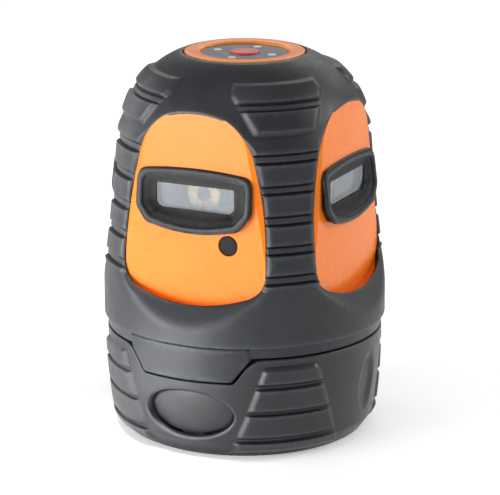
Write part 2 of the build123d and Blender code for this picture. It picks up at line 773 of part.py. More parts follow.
with BuildPart() as head_floor:
    with BuildSketch(Plane.XZ):
        with BuildLine():
            Polyline(
                (0, FLOOR_Z[0]),
                (SPIGOT_R[0], FLOOR_Z[0]),
                (SPIGOT_R[0], SPIGOT_LOW),
                (SPIGOT_R[1], SPIGOT_LOW),
                (SPIGOT_R[1], FLOOR_Z[0]),
                (COLLAR_R[0], FLOOR_Z[0]),
                (COLLAR_R[1], SKIRT_BOTTOM),
                (COLLAR_BORE, SKIRT_BOTTOM),
                (COLLAR_BORE, FLOOR_Z[1]),
                (0, FLOOR_Z[1]),
                close=True,
            )
        make_face()
    revolve(axis=Axis.Z)
    with BuildSketch(Plane.XY.offset(FLOOR_Z[1])):
        with Locations(*FLOOR_SCREWS):
            Circle(BOSS_R)
    extrude(amount=SHELL_BOTTOM - FLOOR_Z[1])
    with BuildSketch(Plane.XY.offset(SPIGOT_LOW)):
        with Locations((0, -SPIGOT_R[1])):
            Rectangle(2 * TAB_SLOT_HALF, TAB_SLOT_DEEP)
    extrude(amount=FLOOR_Z[0] - SPIGOT_LOW, mode=Mode.SUBTRACT)
    with BuildSketch(facing(0, TAB_CUT[0])):
        tab_outline(0)
    tab_seat = extrude(amount=TAB_CUT[1], mode=Mode.PRIVATE)
    with BuildSketch(Plane.XY.offset(SPIGOT_LOW)):
        Circle(TAB_R[0])
    tab_seat -= extrude(amount=TAB_CUT[1], mode=Mode.PRIVATE)
    add(tab_seat, mode=Mode.SUBTRACT)
    with Locations(*[(x, y, FLOOR_Z[0]) for x, y in FLOOR_SCREWS + POST_PLACES]):
        Cylinder(SCREW_R + FIT, FLOOR_CUT, mode=Mode.SUBTRACT)
        Cylinder(SCREW_HEAD_R + FIT, 2 * SCREW_HEAD_H, mode=Mode.SUBTRACT)
    with Locations(*[(x, y, FLOOR_Z[0]) for x, y in SUPPLY_PLACES]):
        Cylinder(SUPPLY_PIN_R, FLOOR_CUT, mode=Mode.SUBTRACT)
save(head_floor, "head_floor")

with BuildPart() as front_tab:
    with BuildSketch(facing(0, TAB_CUT[0])):
        tab_outline(0)
    extrude(amount=TAB_CUT[1])
    with BuildSketch(Plane.XY.offset(TAB_LOW)):
        Circle(TAB_R[1])
        Circle(TAB_R[0], mode=Mode.SUBTRACT)
    extrude(amount=SKIRT_BOTTOM - TAB_LOW, mode=Mode.INTERSECT)
    with BuildSketch(facing(0, TAB_R[0] - 2)):
        with Locations((0, sum(POCKET_Z) / 2)):
            Rectangle(2 * POCKET_HALF, POCKET_Z[1] - POCKET_Z[0])
    extrude(amount=POCKET_R - TAB_R[0] + 2, mode=Mode.SUBTRACT)
    tab_face = faces().sort_by(Axis.Y)[0]
    chamfer(tab_face.edges().filter_by(lambda edge: edge.center().Z < SKIRT_BOTTOM - 1), TAB_BEVEL)
save(front_tab, "front_tab")

SEAL_GAP = 0.2
SEAL_W = 2.2

with BuildPart() as floor_seal:
    with BuildSketch(Plane.XY.offset(FLOOR_Z[1])):
        draw_section(PANEL_DIST)
        Circle(SKIRT_R - SHELL_INSET - SEAL_GAP, mode=Mode.INTERSECT)
    extrude(amount=SHELL_BOTTOM - FLOOR_Z[1])
    with BuildSketch(Plane.XY.offset(FLOOR_Z[1])):
        draw_section(PANEL_DIST - SEAL_W)
        Circle(SKIRT_R - SHELL_INSET - SEAL_W, mode=Mode.INTERSECT)
    extrude(amount=SHELL_BOTTOM - FLOOR_Z[1], mode=Mode.SUBTRACT)
    with BuildSketch(Plane.XY.offset(FLOOR_Z[1])):
        with Locations(*FLOOR_SCREWS):
            Circle(BOSS_R + MODE_FIT)
    extrude(amount=SHELL_BOTTOM - FLOOR_Z[1], mode=Mode.SUBTRACT)
save(floor_seal, "floor_seal")


def floor_screw_group(places, top):
    """Screws that come up through the head floor, with sunk heads."""
    with BuildPart() as screws:
        with BuildSketch(Plane.XY.offset(FLOOR_Z[0] + FIT)):
            with Locations(*places):
                Circle(SCREW_HEAD_R)
        extrude(amount=SCREW_HEAD_H - FIT)
        with BuildSketch(Plane.XY.offset(FLOOR_Z[0] + FIT)):
            with Locations(*places):
                Circle(SCREW_R)
        extrude(amount=top - FLOOR_Z[0] - FIT)
        with BuildSketch(Plane.XY.offset(FLOOR_Z[0] + FIT)):
            with Locations(*places):
                Rectangle(SCREW_CROSS[0], SCREW_CROSS[1])
                Rectangle(SCREW_CROSS[1], SCREW_CROSS[0])
        extrude(amount=SCREW_CROSS[2], mode=Mode.SUBTRACT)
    return screws


save(floor_screw_group(FLOOR_SCREWS, SHELL_BOTTOM + SCREW_BITE), "floor_screws")
save(floor_screw_group(POST_PLACES, FLOOR_Z[1] + SCREW_BITE), "post_screws")

with BuildPart() as supply_pins:
    with BuildSketch(Plane.XY.offset(PIN_FOOT)):
        with Locations(*SUPPLY_PLACES):
            Circle(SUPPLY_PIN_R)
    extrude(amount=FLOOR_Z[1] + PIN_HEAD - PIN_FOOT)
    with BuildSketch(Plane.XY.offset(FLOOR_Z[1])):
        with Locations(*SUPPLY_PLACES):
            Circle(SUPPLY_PIN_R + PIN_COLLAR)
    extrude(amount=PIN_COLLAR)
    fillet(edges().group_by(Axis.Z)[0], PIN_ROUND)
save(supply_pins, "supply_pins")

# Base cup with its treads, grip scoops, notch, button opening and inner bosses

def turned_base(inset, bottom, top):
    """Outside of the base turned about its axis, set in by a distance."""
    with BuildPart() as turned:
        with BuildSketch(Plane.XZ):
            with BuildLine():
                Line((0, BASE_TOP), (0, BASE_BEVEL[1]))
                Line((0, BASE_BEVEL[1]), (BASE_BEVEL[0] - inset, BASE_BEVEL[1]))
                Line((BASE_BEVEL[0] - inset, BASE_BEVEL[1]), (BASE_LOW[0] - inset, BASE_LOW[1]))
                ThreePointArc(
                    (BASE_LOW[0] - inset, BASE_LOW[1]),
                    (BASE_MID[0] - inset, BASE_MID[1]),
                    (BASE_TOP_R - inset, BASE_TOP),
                )
                Line((BASE_TOP_R - inset, BASE_TOP), (0, BASE_TOP))
            make_face()
        revolve(axis=Axis.Z)
        with BuildSketch(Plane.XY.offset(bottom)):
            Circle(SKIRT_R + TREAD_H)
        extrude(amount=top - bottom, mode=Mode.INTERSECT)
    return turned.part


with BuildPart() as treads:
    with BuildSketch(*[facing(angle, PRISM_START) for angle in CORNERS]):
        with BuildLine():
            Polyline(
                (-TREAD_HALF_LOW, TREAD_LOW),
                (TREAD_HALF_LOW, TREAD_LOW),
                (TREAD_HALF_TOP, TREAD_TOP),
                (-TREAD_HALF_TOP, TREAD_TOP),
                close=True,
            )
        make_face()
    extrude(amount=PRISM_L)
    add(turned_base(-TREAD_H, BASE_BEVEL[1], BASE_TOP), mode=Mode.INTERSECT)
    for low, high in TREAD_GROOVES:
        with Locations((0, 0, (low + high) / 2)):
            Cylinder(SKIRT_R + TREAD_H, high - low, mode=Mode.SUBTRACT)

SCOOP_R = (SCOOP_HALF_W**2 / SCOOP_DEPTH + SCOOP_DEPTH) / 2
SCOOP_AXIS = BASE_MID[0] - SCOOP_DEPTH + SCOOP_R
TRAY_BOSSES = [(x * TRAY_EAR[0], y * TRAY_EAR[1]) for x in (1, -1) for y in (1, -1)]

with BuildPart() as base_cup:
    add(turned_base(0, BASE_BEVEL[1], BASE_TOP))
    add(treads.part)
    for sign in (1, -1):
        axis_x = sign * SCOOP_AXIS
        deep_x = sign * (SCOOP_AXIS - SCOOP_R)
        end_x = sign * (SCOOP_AXIS - SCOOP_R + SCOOP_DEPTH)
        scoop_low = SCOOP_Z - SCOOP_HALF_H
        scoop_high = SCOOP_Z + SCOOP_HALF_H
        with BuildSketch(Plane.XZ):
            with BuildLine():
                Polyline((end_x, scoop_high), (axis_x, scoop_high), (axis_x, scoop_low), (end_x, scoop_low))
                ThreePointArc((end_x, scoop_low), (deep_x, SCOOP_Z), (end_x, scoop_high))
            make_face()
        revolve(axis=Axis((axis_x, 0, 0), (0, 0, 1)), mode=Mode.SUBTRACT)
    add(turned_base(BASE_WALL, BASE_FLOOR, BASE_TOP), mode=Mode.SUBTRACT)
    with BuildSketch(Plane.XY.offset(LEDGE_Z[0])):
        Circle(BASE_TOP_R - 1)
        Circle(LEDGE_R, mode=Mode.SUBTRACT)
    extrude(amount=LEDGE_Z[1] - LEDGE_Z[0])
    with BuildSketch(facing(0, BASE_CUT[0])):
        with BuildLine():
            Polyline(
                (-TAB_HALF_LOW - NOTCH_GAP, TAB_LOW - NOTCH_GAP),
                (TAB_HALF_LOW + NOTCH_GAP, TAB_LOW - NOTCH_GAP),
                (TAB_HALF_TOP + NOTCH_GAP, BASE_TOP),
                (TAB_HALF_TOP + NOTCH_ROUND, BASE_TOP),
                (TAB_HALF_TOP + NOTCH_ROUND, SKIRT_BOTTOM),
                (-TAB_HALF_TOP - NOTCH_ROUND, SKIRT_BOTTOM),
                (-TAB_HALF_TOP - NOTCH_ROUND, BASE_TOP),
                (-TAB_HALF_TOP - NOTCH_GAP, BASE_TOP),
                close=True,
            )
        make_face()
        bends = [corner for corner in vertices() if abs(abs(corner.X) - TAB_HALF_TOP - NOTCH_GAP) < 0.01]
        fillet(bends, NOTCH_ROUND)
    extrude(amount=BASE_CUT[1], mode=Mode.SUBTRACT)
    with BuildSketch(facing(0, BASE_CUT[0])):
        with Locations((0, OVAL_Z)):
            Ellipse(OVAL_HALF_W + OVAL_SLIT, OVAL_HALF_H + OVAL_SLIT)
    extrude(amount=BASE_CUT[1], mode=Mode.SUBTRACT)
    with BuildSketch(Plane.XY.offset(BASE_FLOOR)):
        with Locations(*TRAY_BOSSES):
            Circle(BOSS_R)
    extrude(amount=TRAY_FLOOR[0] - BASE_FLOOR)
    with BuildSketch(Plane.XY.offset(BASE_FLOOR)):
        with Locations(*SUPPLY_PLACES):
            Circle(BOSS_R)
    extrude(amount=PILLAR_TOP - BASE_FLOOR)
    with BuildSketch(Plane.XY.offset(BASE_FLOOR)):
        Circle(INSERT_FLANGE_R + 1)
    extrude(amount=INSERT_TOP - INSERT_FLANGE_T - BASE_FLOOR)
    for sign in (1, -1):
        with Locations((sign * sum(EAR_X) / 2, EAR_Y, PIVOT_Z)):
            Box(EAR_X[1] - EAR_X[0], *EAR_SIZE)
    with BuildSketch(Plane.YZ.offset(-HINGE_CUT)):
        with Locations((PIVOT_Y, PIVOT_Z)):
            Circle(PIVOT_R)
    extrude(amount=2 * HINGE_CUT, mode=Mode.SUBTRACT)
    Cylinder(INSERT_R, 2 * BASE_TOP, mode=Mode.SUBTRACT)
    with BuildSketch(Plane.XY):
        Circle(FOOT_R[1])
        Circle(FOOT_R[0], mode=Mode.SUBTRACT)
    extrude(amount=FOOT_T, mode=Mode.SUBTRACT)
    with Locations(*[(x, y, TRAY_FLOOR[0]) for x, y in TRAY_BOSSES]):
        Cylinder(SCREW_R, 2 * SCREW_BITE - 2, mode=Mode.SUBTRACT)
    with Locations((0, LEAF_SCREW_Y, BASE_FLOOR)):
        Cylinder(LEAF_SCREW_R, BASE_FLOOR, mode=Mode.SUBTRACT)
save(base_cup, "base_cup")

with BuildPart() as foot_ring:
    with BuildSketch(Plane.XY):
        Circle(FOOT_R[1])
        Circle(FOOT_R[0], mode=Mode.SUBTRACT)
    extrude(amount=FOOT_T)
save(foot_ring, "foot_ring")

with BuildPart() as tripod_insert:
    with BuildSketch(Plane.XY.offset(BASE_BEVEL[1])):
        Circle(INSERT_R)
        Circle(THREAD_R, mode=Mode.SUBTRACT)
    extrude(amount=INSERT_TOP - BASE_BEVEL[1])
    with BuildSketch(Plane.XY.offset(INSERT_TOP - INSERT_FLANGE_T)):
        Circle(INSERT_FLANGE_R)
        Circle(THREAD_R, mode=Mode.SUBTRACT)
    extrude(amount=INSERT_FLANGE_T)
save(tripod_insert, "tripod_insert")

# Release button, its pins, and the leaf spring that latches the head

with BuildPart() as release_button:
    with BuildSketch(facing(0, BASE_CUT[0])):
        with Locations((0, OVAL_Z)):
            Ellipse(OVAL_HALF_W, OVAL_HALF_H)
    extrude(amount=BASE_CUT[1])
    add(turned_base(OVAL_SINK, BASE_BEVEL[1], BASE_TOP), mode=Mode.INTERSECT)
    add(turned_base(OVAL_SINK + OVAL_T, BASE_BEVEL[1], BASE_TOP), mode=Mode.SUBTRACT)
    for sign in (1, -1):
        with BuildSketch(Plane.YZ.offset(sign * LUG_X[0])):
            with BuildLine():
                Polyline(
                    (PIVOT_Y - LUG_HALF_Y, PIVOT_Z),
                    (PIVOT_Y - LUG_HALF_Y, OVAL_Z + LUG_RISE[2]),
                    (LUG_FRONT, OVAL_Z + LUG_RISE[2]),
                    (LUG_FRONT, OVAL_Z + LUG_RISE[0]),
                    (PIVOT_Y - LUG_HALF_Y, OVAL_Z + LUG_RISE[0]),
                    (PIVOT_Y + LUG_HALF_Y, OVAL_Z + LUG_RISE[1]),
                    (PIVOT_Y + LUG_HALF_Y, PIVOT_Z),
                    close=True,
                )
            make_face()
            with Locations((PIVOT_Y, PIVOT_Z)):
                Circle(LUG_HALF_Y)
        extrude(amount=sign * (LUG_X[1] - LUG_X[0]))
    with Locations((0, RIB_BACK, OVAL_Z - RIB_DROP)):
        Box(*RIB_SIZE, align=(Align.CENTER, Align.MAX, Align.CENTER))
    with BuildSketch(Plane.YZ.offset(-HINGE_CUT)):
        with Locations((PIVOT_Y, PIVOT_Z)):
            Circle(PIVOT_R + RUN_CLEAR)
    extrude(amount=2 * HINGE_CUT, mode=Mode.SUBTRACT)
save(release_button, "release_button")

with BuildPart() as button_pins:
    for sign in (1, -1):
        with BuildSketch(Plane.YZ.offset(sign * (LUG_X[0] - PIN_END))):
            with Locations((PIVOT_Y, PIVOT_Z)):
                Circle(PIVOT_R)
        extrude(amount=sign * (EAR_X[1] - LUG_X[0] + PIN_END))
save(button_pins, "button_pins")

with BuildPart() as latch_spring:
    with BuildSketch(Plane.YZ.offset(-LEAF_HALF)):
        with BuildLine():
            Polyline(
                (LEAF_FOOT, BASE_FLOOR),
                (LEAF_FOOT, BASE_FLOOR + LEAF_T),
                (LEAF_BACK, BASE_FLOOR + LEAF_T),
                (LEAF_BACK, LEAF_TOP),
                (NOSE_TIP, LEAF_TOP),
                (NOSE_TIP, LEAF_TOP - LEAF_T),
                (LEAF_BACK - LEAF_T, LEAF_TOP - LEAF_T),
                (LEAF_BACK - LEAF_T, BASE_FLOOR),
                close=True,
            )
        make_face()
    extrude(amount=2 * LEAF_HALF)
    with Locations((0, LEAF_SCREW_Y, BASE_FLOOR)):
        Cylinder(LEAF_SCREW_R + FIT, BASE_FLOOR, mode=Mode.SUBTRACT)
save(latch_spring, "latch_spring")

with BuildPart() as latch_screw:
    with BuildSketch(Plane.XY.offset(BASE_FLOOR + LEAF_T)):
        with Locations((0, LEAF_SCREW_Y)):
            Circle(2 * LEAF_SCREW_R)
    extrude(amount=LEAF_SCREW_HEAD)
    with BuildSketch(Plane.XY.offset(BASE_FLOOR + LEAF_T)):
        with Locations((0, LEAF_SCREW_Y)):
            Circle(LEAF_SCREW_R)
    extrude(amount=-LEAF_SCREW_L)
save(latch_screw, "latch_screw")

# Battery tray with its cells, contacts, supply pads and screws

CELL_X = [(number - (CELL_COUNT - 1) / 2) * CELL_PITCH for number in range(CELL_COUNT)]
CELL_Z = TRAY_FLOOR[1] + CELL_R + 0.05
TRAY_INNER = (CELL_X[-1] + CELL_R + 0.5, CELL_L / 2 + CONTACT_ROOM)

with BuildPart() as battery_tray:
    with BuildSketch(Plane.XY.offset(TRAY_FLOOR[0])):
        Rectangle(2 * (TRAY_INNER[0] + TRAY_WALL), 2 * (TRAY_INNER[1] + TRAY_WALL))
    extrude(amount=TRAY_TOP - TRAY_FLOOR[0])
    with BuildSketch(Plane.XY.offset(TRAY_FLOOR[1])):
        Rectangle(2 * TRAY_INNER[0], 2 * TRAY_INNER[1])
    extrude(amount=TRAY_TOP, mode=Mode.SUBTRACT)
    with BuildSketch(Plane.XY.offset(TRAY_FLOOR[0])):
        for sign in (1, -1):
            with Locations((sign * TRAY_EAR[0], 0)):
                Rectangle(2 * BOSS_R, 2 * TRAY_EAR[1] + 2 * BOSS_R)
    extrude(amount=TRAY_FLOOR[1] - TRAY_FLOOR[0])
    with Locations(*[(x, y, TRAY_FLOOR[0]) for x, y in TRAY_BOSSES]):
        Cylinder(SCREW_R + FIT, SCREW_BITE, mode=Mode.SUBTRACT)
save(battery_tray, "battery_tray")

with BuildPart() as battery_cells:
    for number, x in enumerate(CELL_X):
        way = 1 if number % 2 else -1
        with BuildSketch(Plane.XZ.offset(-way * CELL_L / 2)):
            with Locations((x, CELL_Z)):
                Circle(CELL_R)
        extrude(amount=way * (CELL_L - NUB_L))
        with BuildSketch(Plane.XZ.offset(way * (CELL_L / 2 - NUB_L))):
            with Locations((x, CELL_Z)):
                Circle(NUB_R)
        extrude(amount=way * NUB_L)
save(battery_cells, "battery_cells")

# Contact strips: two that bridge a pair of cells at the back, one pair and two single ones in front
CONTACT_STRIPS = (
    (1, CELL_X[0:2]),
    (1, CELL_X[2:4]),
    (-1, CELL_X[0:1]),
    (-1, CELL_X[1:3]),
    (-1, CELL_X[3:4]),
)

with BuildPart() as battery_contacts:
    for end, strip in CONTACT_STRIPS:
        wall_y = end * (TRAY_INNER[1] - CONTACT_T / 2)
        dimple_y = end * (CELL_L / 2 + (CONTACT_ROOM - CONTACT_T) / 2)
        with Locations(((strip[0] + strip[-1]) / 2, wall_y, CELL_Z)):
            Box(strip[-1] - strip[0] + CONTACT_W, CONTACT_T, CONTACT_W)
        with Locations(*[(x, dimple_y, CELL_Z) for x in strip]):
            Cylinder(DIMPLE_R, CONTACT_ROOM - CONTACT_T, rotation=(90, 0, 0))
save(battery_contacts, "battery_contacts")

with BuildPart() as supply_pads:
    with BuildSketch(Plane.XY.offset(PILLAR_TOP)):
        with Locations(*SUPPLY_PLACES):
            Circle(SUPPLY_PAD_R)
    extrude(amount=SUPPLY_PAD_T)
save(supply_pads, "supply_pads")

with BuildPart() as tray_screws:
    with BuildSketch(Plane.XY.offset(TRAY_FLOOR[1])):
        with Locations(*TRAY_BOSSES):
            Circle(SCREW_HEAD_R)
    extrude(amount=SCREW_HEAD_H)
    with BuildSketch(Plane.XY.offset(TRAY_FLOOR[1])):
        with Locations(*TRAY_BOSSES):
            Circle(SCREW_R)
    extrude(amount=-SCREW_BITE)
    with BuildSketch(Plane.XY.offset(TRAY_FLOOR[1] + SCREW_HEAD_H)):
        with Locations(*TRAY_BOSSES):
            Rectangle(SCREW_CROSS[0], SCREW_CROSS[1])
            Rectangle(SCREW_CROSS[1], SCREW_CROSS[0])
    extrude(amount=-SCREW_CROSS[2], mode=Mode.SUBTRACT)
save(tray_screws, "tray_screws")

# Fixed frame that the pendulum hangs from

with BuildPart() as gimbal_posts:
    with BuildSketch(Plane.XY.offset(FLOOR_Z[1])):
        with Locations(*POST_PLACES):
            Circle(POST_FOOT_R)
    extrude(amount=MAIN_BOARD_Z - FLOOR_Z[1])
    with BuildSketch(Plane.XY.offset(MAIN_BOARD_Z)):
        with Locations(*POST_PLACES):
            Circle(POST_R)
    extrude(amount=BRIDGE_Z[0] - MAIN_BOARD_Z)
    with Locations(*[(x, y, z) for x, y in POST_PLACES for z in (FLOOR_Z[1], BRIDGE_Z[0])]):
        Cylinder(SCREW_R, 2 * SCREW_BITE + 2, mode=Mode.SUBTRACT)
save(gimbal_posts, "gimbal_posts")

with BuildPart() as gimbal_bridge:
    with BuildSketch(Plane.XY.offset(BRIDGE_Z[0])):
        Circle(BRIDGE_R)
        Circle(BRIDGE_HOLE_R, mode=Mode.SUBTRACT)
        with Locations(*POST_PLACES):
            Circle(SCREW_R + FIT, mode=Mode.SUBTRACT)
    extrude(amount=BRIDGE_Z[1] - BRIDGE_Z[0])
    for sign in (1, -1):
        with Locations((sign * sum(HANGER_X) / 2, 0, BRIDGE_Z[0])):
            Box(
                HANGER_X[1] - HANGER_X[0],
                2 * HANGER_HALF,
                BRIDGE_Z[0] - PIVOT_H + HANGER_HALF,
                align=(Align.CENTER, Align.CENTER, Align.MAX),
            )
    with BuildSketch(Plane.YZ.offset(-AXLE_CUT)):
        with Locations((0, PIVOT_H)):
            Circle(AXLE_BEARING_R)
    extrude(amount=2 * AXLE_CUT, mode=Mode.SUBTRACT)
save(gimbal_bridge, "gimbal_bridge")

with BuildPart() as bridge_screws:
    with BuildSketch(Plane.XY.offset(BRIDGE_Z[1])):
        with Locations(*POST_PLACES):
            Circle(SCREW_HEAD_R)
    extrude(amount=SCREW_HEAD_H)
    with BuildSketch(Plane.XY.offset(BRIDGE_Z[1])):
        with Locations(*POST_PLACES):
            Circle(SCREW_R)
    extrude(amount=BRIDGE_Z[0] - BRIDGE_Z[1] - SCREW_BITE + 1)
save(bridge_screws, "bridge_screws")

with BuildPart() as ring_bearings:
    for sign in (1, -1):
        with BuildSketch(Plane.YZ.offset(sign * (HANGER_X[0] + BOSS_FIT))):
            with Locations((0, PIVOT_H)):
                Circle(AXLE_BEARING_R)
                Circle(AXLE_R + RUN_CLEAR, mode=Mode.SUBTRACT)
        extrude(amount=sign * BEARING_W)
save(ring_bearings, "ring_bearings")

with BuildPart() as main_board:
    with BuildSketch(Plane.XY.offset(MAIN_BOARD_Z)):
        Circle(MAIN_BOARD_R)
        Circle(MAIN_BOARD_HOLE, mode=Mode.SUBTRACT)
        with Locations(*POST_PLACES):
            Circle(POST_R + FIT, mode=Mode.SUBTRACT)
    extrude(amount=BOARD_T)
    for x, y, length, width, height in MAIN_BLOCKS:
        with Locations((x, y, MAIN_BOARD_Z + BOARD_T)):
            Box(length, width, height, align=(Align.CENTER, Align.CENTER, Align.MIN))
save(main_board, "main_board")

with BuildPart() as magnet_holder:
    with BuildSketch(Plane.XY.offset(FLOOR_Z[1])):
        Circle(MAGNET_CIRCLE + MAGNET_R + HOLDER_RIM)
    extrude(amount=HOLDER_H)
save(magnet_holder, "magnet_holder")

with BuildPart() as damper_magnets:
    with BuildSketch(Plane.XY.offset(FLOOR_Z[1] + HOLDER_H)):
        with PolarLocations(MAGNET_CIRCLE, 4, start_angle=45):
            Circle(MAGNET_R)
    extrude(amount=MAGNET_H)
save(damper_magnets, "damper_magnets")

# Gimbal ring with its pins and the pendulum's bearings

with BuildPart() as gimbal_ring:
    with BuildSketch(Plane.XY.offset(PIVOT_H - RING_GIMBAL_HALF)):
        Circle(RING_GIMBAL_R[1])
        Circle(RING_GIMBAL_R[0], mode=Mode.SUBTRACT)
    extrude(amount=2 * RING_GIMBAL_HALF)
    with BuildSketch(Plane.YZ.offset(-AXLE_CUT)):
        with Locations((0, PIVOT_H)):
            Circle(AXLE_R)
    extrude(amount=2 * AXLE_CUT, mode=Mode.SUBTRACT)
    with BuildSketch(Plane.XZ.offset(-AXLE_CUT)):
        with Locations((0, PIVOT_H)):
            Circle(INNER_BEARING_R)
    extrude(amount=2 * AXLE_CUT, mode=Mode.SUBTRACT)
save(gimbal_ring, "gimbal_ring")

with BuildPart() as ring_pins:
    for sign in (1, -1):
        with BuildSketch(Plane.YZ.offset(sign * (RING_GIMBAL_R[0] + PIN_END))):
            with Locations((0, PIVOT_H)):
                Circle(AXLE_R)
        extrude(amount=sign * (HANGER_X[1] - RING_GIMBAL_R[0] - PIN_END))
save(ring_pins, "ring_pins")

with BuildPart() as pendulum_bearings:
    for sign in (1, -1):
        with BuildSketch(Plane.XZ.offset(sign * (RING_GIMBAL_R[0] + 1.0))):
            with Locations((0, PIVOT_H)):
                Circle(INNER_BEARING_R)
                Circle(INNER_AXLE_R + RUN_CLEAR, mode=Mode.SUBTRACT)
        extrude(amount=sign * BEARING_W)
save(pendulum_bearings, "pendulum_bearings")

# Pendulum with its four laser modules

with BuildPart() as pendulum_body:
    with Locations((0, 0, PIVOT_H)):
        Box(*[2 * half for half in HANG_HALF])
    with BuildSketch(Plane.XY.offset(DISC_Z[1])):
        Circle(TAIL_R)
    extrude(amount=BLOCK_Z[0] - DISC_Z[1])
    with BuildSketch(Plane.XY.offset(BLOCK_Z[0])):
        Rectangle(2 * BLOCK_HALF, 2 * BLOCK_HALF)
    extrude(amount=BLOCK_Z[1] - BLOCK_Z[0])
    with BuildSketch(Plane.XY.offset(BLOCK_Z[1])):
        Circle(STEM_R)
    extrude(amount=PIVOT_H - HANG_HALF[2] - BLOCK_Z[1])
    with BuildSketch(*[facing(angle, MODULE_BACK) for angle in FACES.values()]):
        with Locations((0, LENS_Z)):
            Circle(MODULE_R)
    extrude(amount=BLOCK_HALF, mode=Mode.SUBTRACT)
    with BuildSketch(*[facing(angle, TRIM_SPAN[0]) for angle in FACES.values()]):
        with Locations((0, TRIM_Z)):
            Circle(TRIM_R)
    extrude(amount=TRIM_SPAN[1] - TRIM_SPAN[0], mode=Mode.SUBTRACT)
    with BuildSketch(Plane.XZ.offset(-AXLE_CUT)):
        with Locations((0, PIVOT_H)):
            Circle(INNER_AXLE_R)
    extrude(amount=2 * AXLE_CUT, mode=Mode.SUBTRACT)
save(pendulum_body, "pendulum_body")

with BuildPart() as pendulum_pins:
    for sign in (1, -1):
        with BuildSketch(Plane.XZ.offset(sign * (HANG_HALF[1] - PIN_SINK))):
            with Locations((0, PIVOT_H)):
                Circle(INNER_AXLE_R)
        extrude(amount=sign * (RING_GIMBAL_R[0] + 5.0 - HANG_HALF[1] + PIN_SINK))
save(pendulum_pins, "pendulum_pins")

for side, angle in FACES.items():
    with BuildPart() as laser_module:
        with BuildSketch(facing(angle, MODULE_BACK)):
            with Locations((0, LENS_Z)):
                Circle(MODULE_R)
        extrude(amount=MODULE_FRONT - MODULE_BACK)
        rim_edges = edges().filter_by(GeomType.CIRCLE)
        chamfer(rim_edges.sort_by(lambda edge: edge.center().length)[-1], MODULE_BEVEL)
        with BuildSketch(facing(angle, MODULE_FRONT)):
            with Locations((0, LENS_Z)):
                Circle(LENS_R)
            with Locations((0, LENS_Z - AIM_SCREW_DROP)):
                Circle(AIM_SCREW_R)
        extrude(amount=-LENS_SEAT, mode=Mode.SUBTRACT)
    save(laser_module, f"laser_module_{side}")

with BuildPart() as module_lenses:
    with BuildSketch(*[facing(angle, MODULE_FRONT - LENS_SEAT) for angle in FACES.values()]):
        with Locations((0, LENS_Z)):
            Circle(LENS_R)
    extrude(amount=LENS_SEAT + LENS_PROUD)
save(module_lenses, "module_lenses")

with BuildPart() as trim_screws:
    with BuildSketch(*[facing(angle, TRIM_SPAN[0]) for angle in FACES.values()]):
        with Locations((0, TRIM_Z)):
            Circle(TRIM_R)
    extrude(amount=TRIM_SPAN[1] - TRIM_SPAN[0])
    with BuildSketch(*[facing(angle, TRIM_SPAN[1] - TRIM_HEAD_L) for angle in FACES.values()]):
        with Locations((0, TRIM_Z)):
            Circle(TRIM_HEAD_R)
    extrude(amount=TRIM_HEAD_L)
save(trim_screws, "trim_screws")

with BuildPart() as damper_disc:
    with BuildSketch(Plane.XY.offset(DISC_Z[0])):
        Circle(DISC_R)
    extrude(amount=DISC_Z[1] - DISC_Z[0])
save(damper_disc, "damper_disc")
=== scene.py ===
import json
from math import atan2, cos, pi, radians, sin, sqrt, tan

import bmesh
import bpy
import numpy as np
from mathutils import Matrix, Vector


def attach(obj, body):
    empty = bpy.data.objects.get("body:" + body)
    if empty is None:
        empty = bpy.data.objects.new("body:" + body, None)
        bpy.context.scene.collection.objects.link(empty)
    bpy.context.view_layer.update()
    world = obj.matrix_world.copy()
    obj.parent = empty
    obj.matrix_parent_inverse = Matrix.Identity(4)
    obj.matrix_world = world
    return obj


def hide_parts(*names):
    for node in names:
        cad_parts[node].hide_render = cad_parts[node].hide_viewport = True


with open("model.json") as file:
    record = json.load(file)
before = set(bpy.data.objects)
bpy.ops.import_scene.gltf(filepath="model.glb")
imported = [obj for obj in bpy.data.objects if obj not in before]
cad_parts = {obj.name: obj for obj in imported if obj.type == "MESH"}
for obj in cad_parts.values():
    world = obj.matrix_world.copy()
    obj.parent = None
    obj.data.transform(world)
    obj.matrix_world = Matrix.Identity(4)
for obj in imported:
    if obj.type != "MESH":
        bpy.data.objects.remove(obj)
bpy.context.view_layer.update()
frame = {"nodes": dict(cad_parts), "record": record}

NODES = frame["nodes"]
SLOT_OF = {entry["node"]: entry["material_slot"] for entry in frame["record"]["subparts"]}
BODY_OF = {"keypad_ring": "head", "foot_ring": "base", "tripod_insert": "base"}
SIDES = {"front": 0, "right": 90, "rear": 180, "left": 270}
MM = 0.001
TINY = 1e-9

# Sizes are in millimetres. Points nearer than these are joined: of one mesh, of sectors, of ring sectors
TOUCH, SECTOR_TOUCH, RING_TOUCH = 0.001, 0.02, 0.005

# Head, with points as half width and height
SKIRT_R = 62.0
SKIRT_BOTTOM = 51.4
SKIRT_TOP = 78.0
SKIRT_EDGE = 1.0
SIDE_TOP = 135.0
DOME_CENTRE_R = 14.7
DOME_CENTRE_Z = 130.7
DOME_R = 41.0
DOME_TOP = 169.6
RELIEF = 1.8
GROOVES = ((78.8, 83.2), (91.4, 95.7), (103.9, 108.4), (117.0, 121.2), (129.9, 134.4))
GROOVE_WALL = 0.8
GROOVE_LEAD = 0.25
GROOVE_CROWN = 0.45
CROWN_FROM = 0.6
CROWN_WALL = 0.7
FADE_TOP = 143.0
SHIELD_GROOVE = (151.6, 155.4)
SHIELD_LOW = (13.7, 142.3)
SHIELD_HIGH = (22.8, 162.7)
SHIELD_CUT = 4.4
SHIELD_BEVEL = 1.9
SHIELD_NEAR = 1.0
PLATE_LEAD = 0.4
BEVEL_SOFT = 0.15
SLOPE_STEP = 0.05
JACKET_T = 2.4
JACKET_COLUMNS = 85

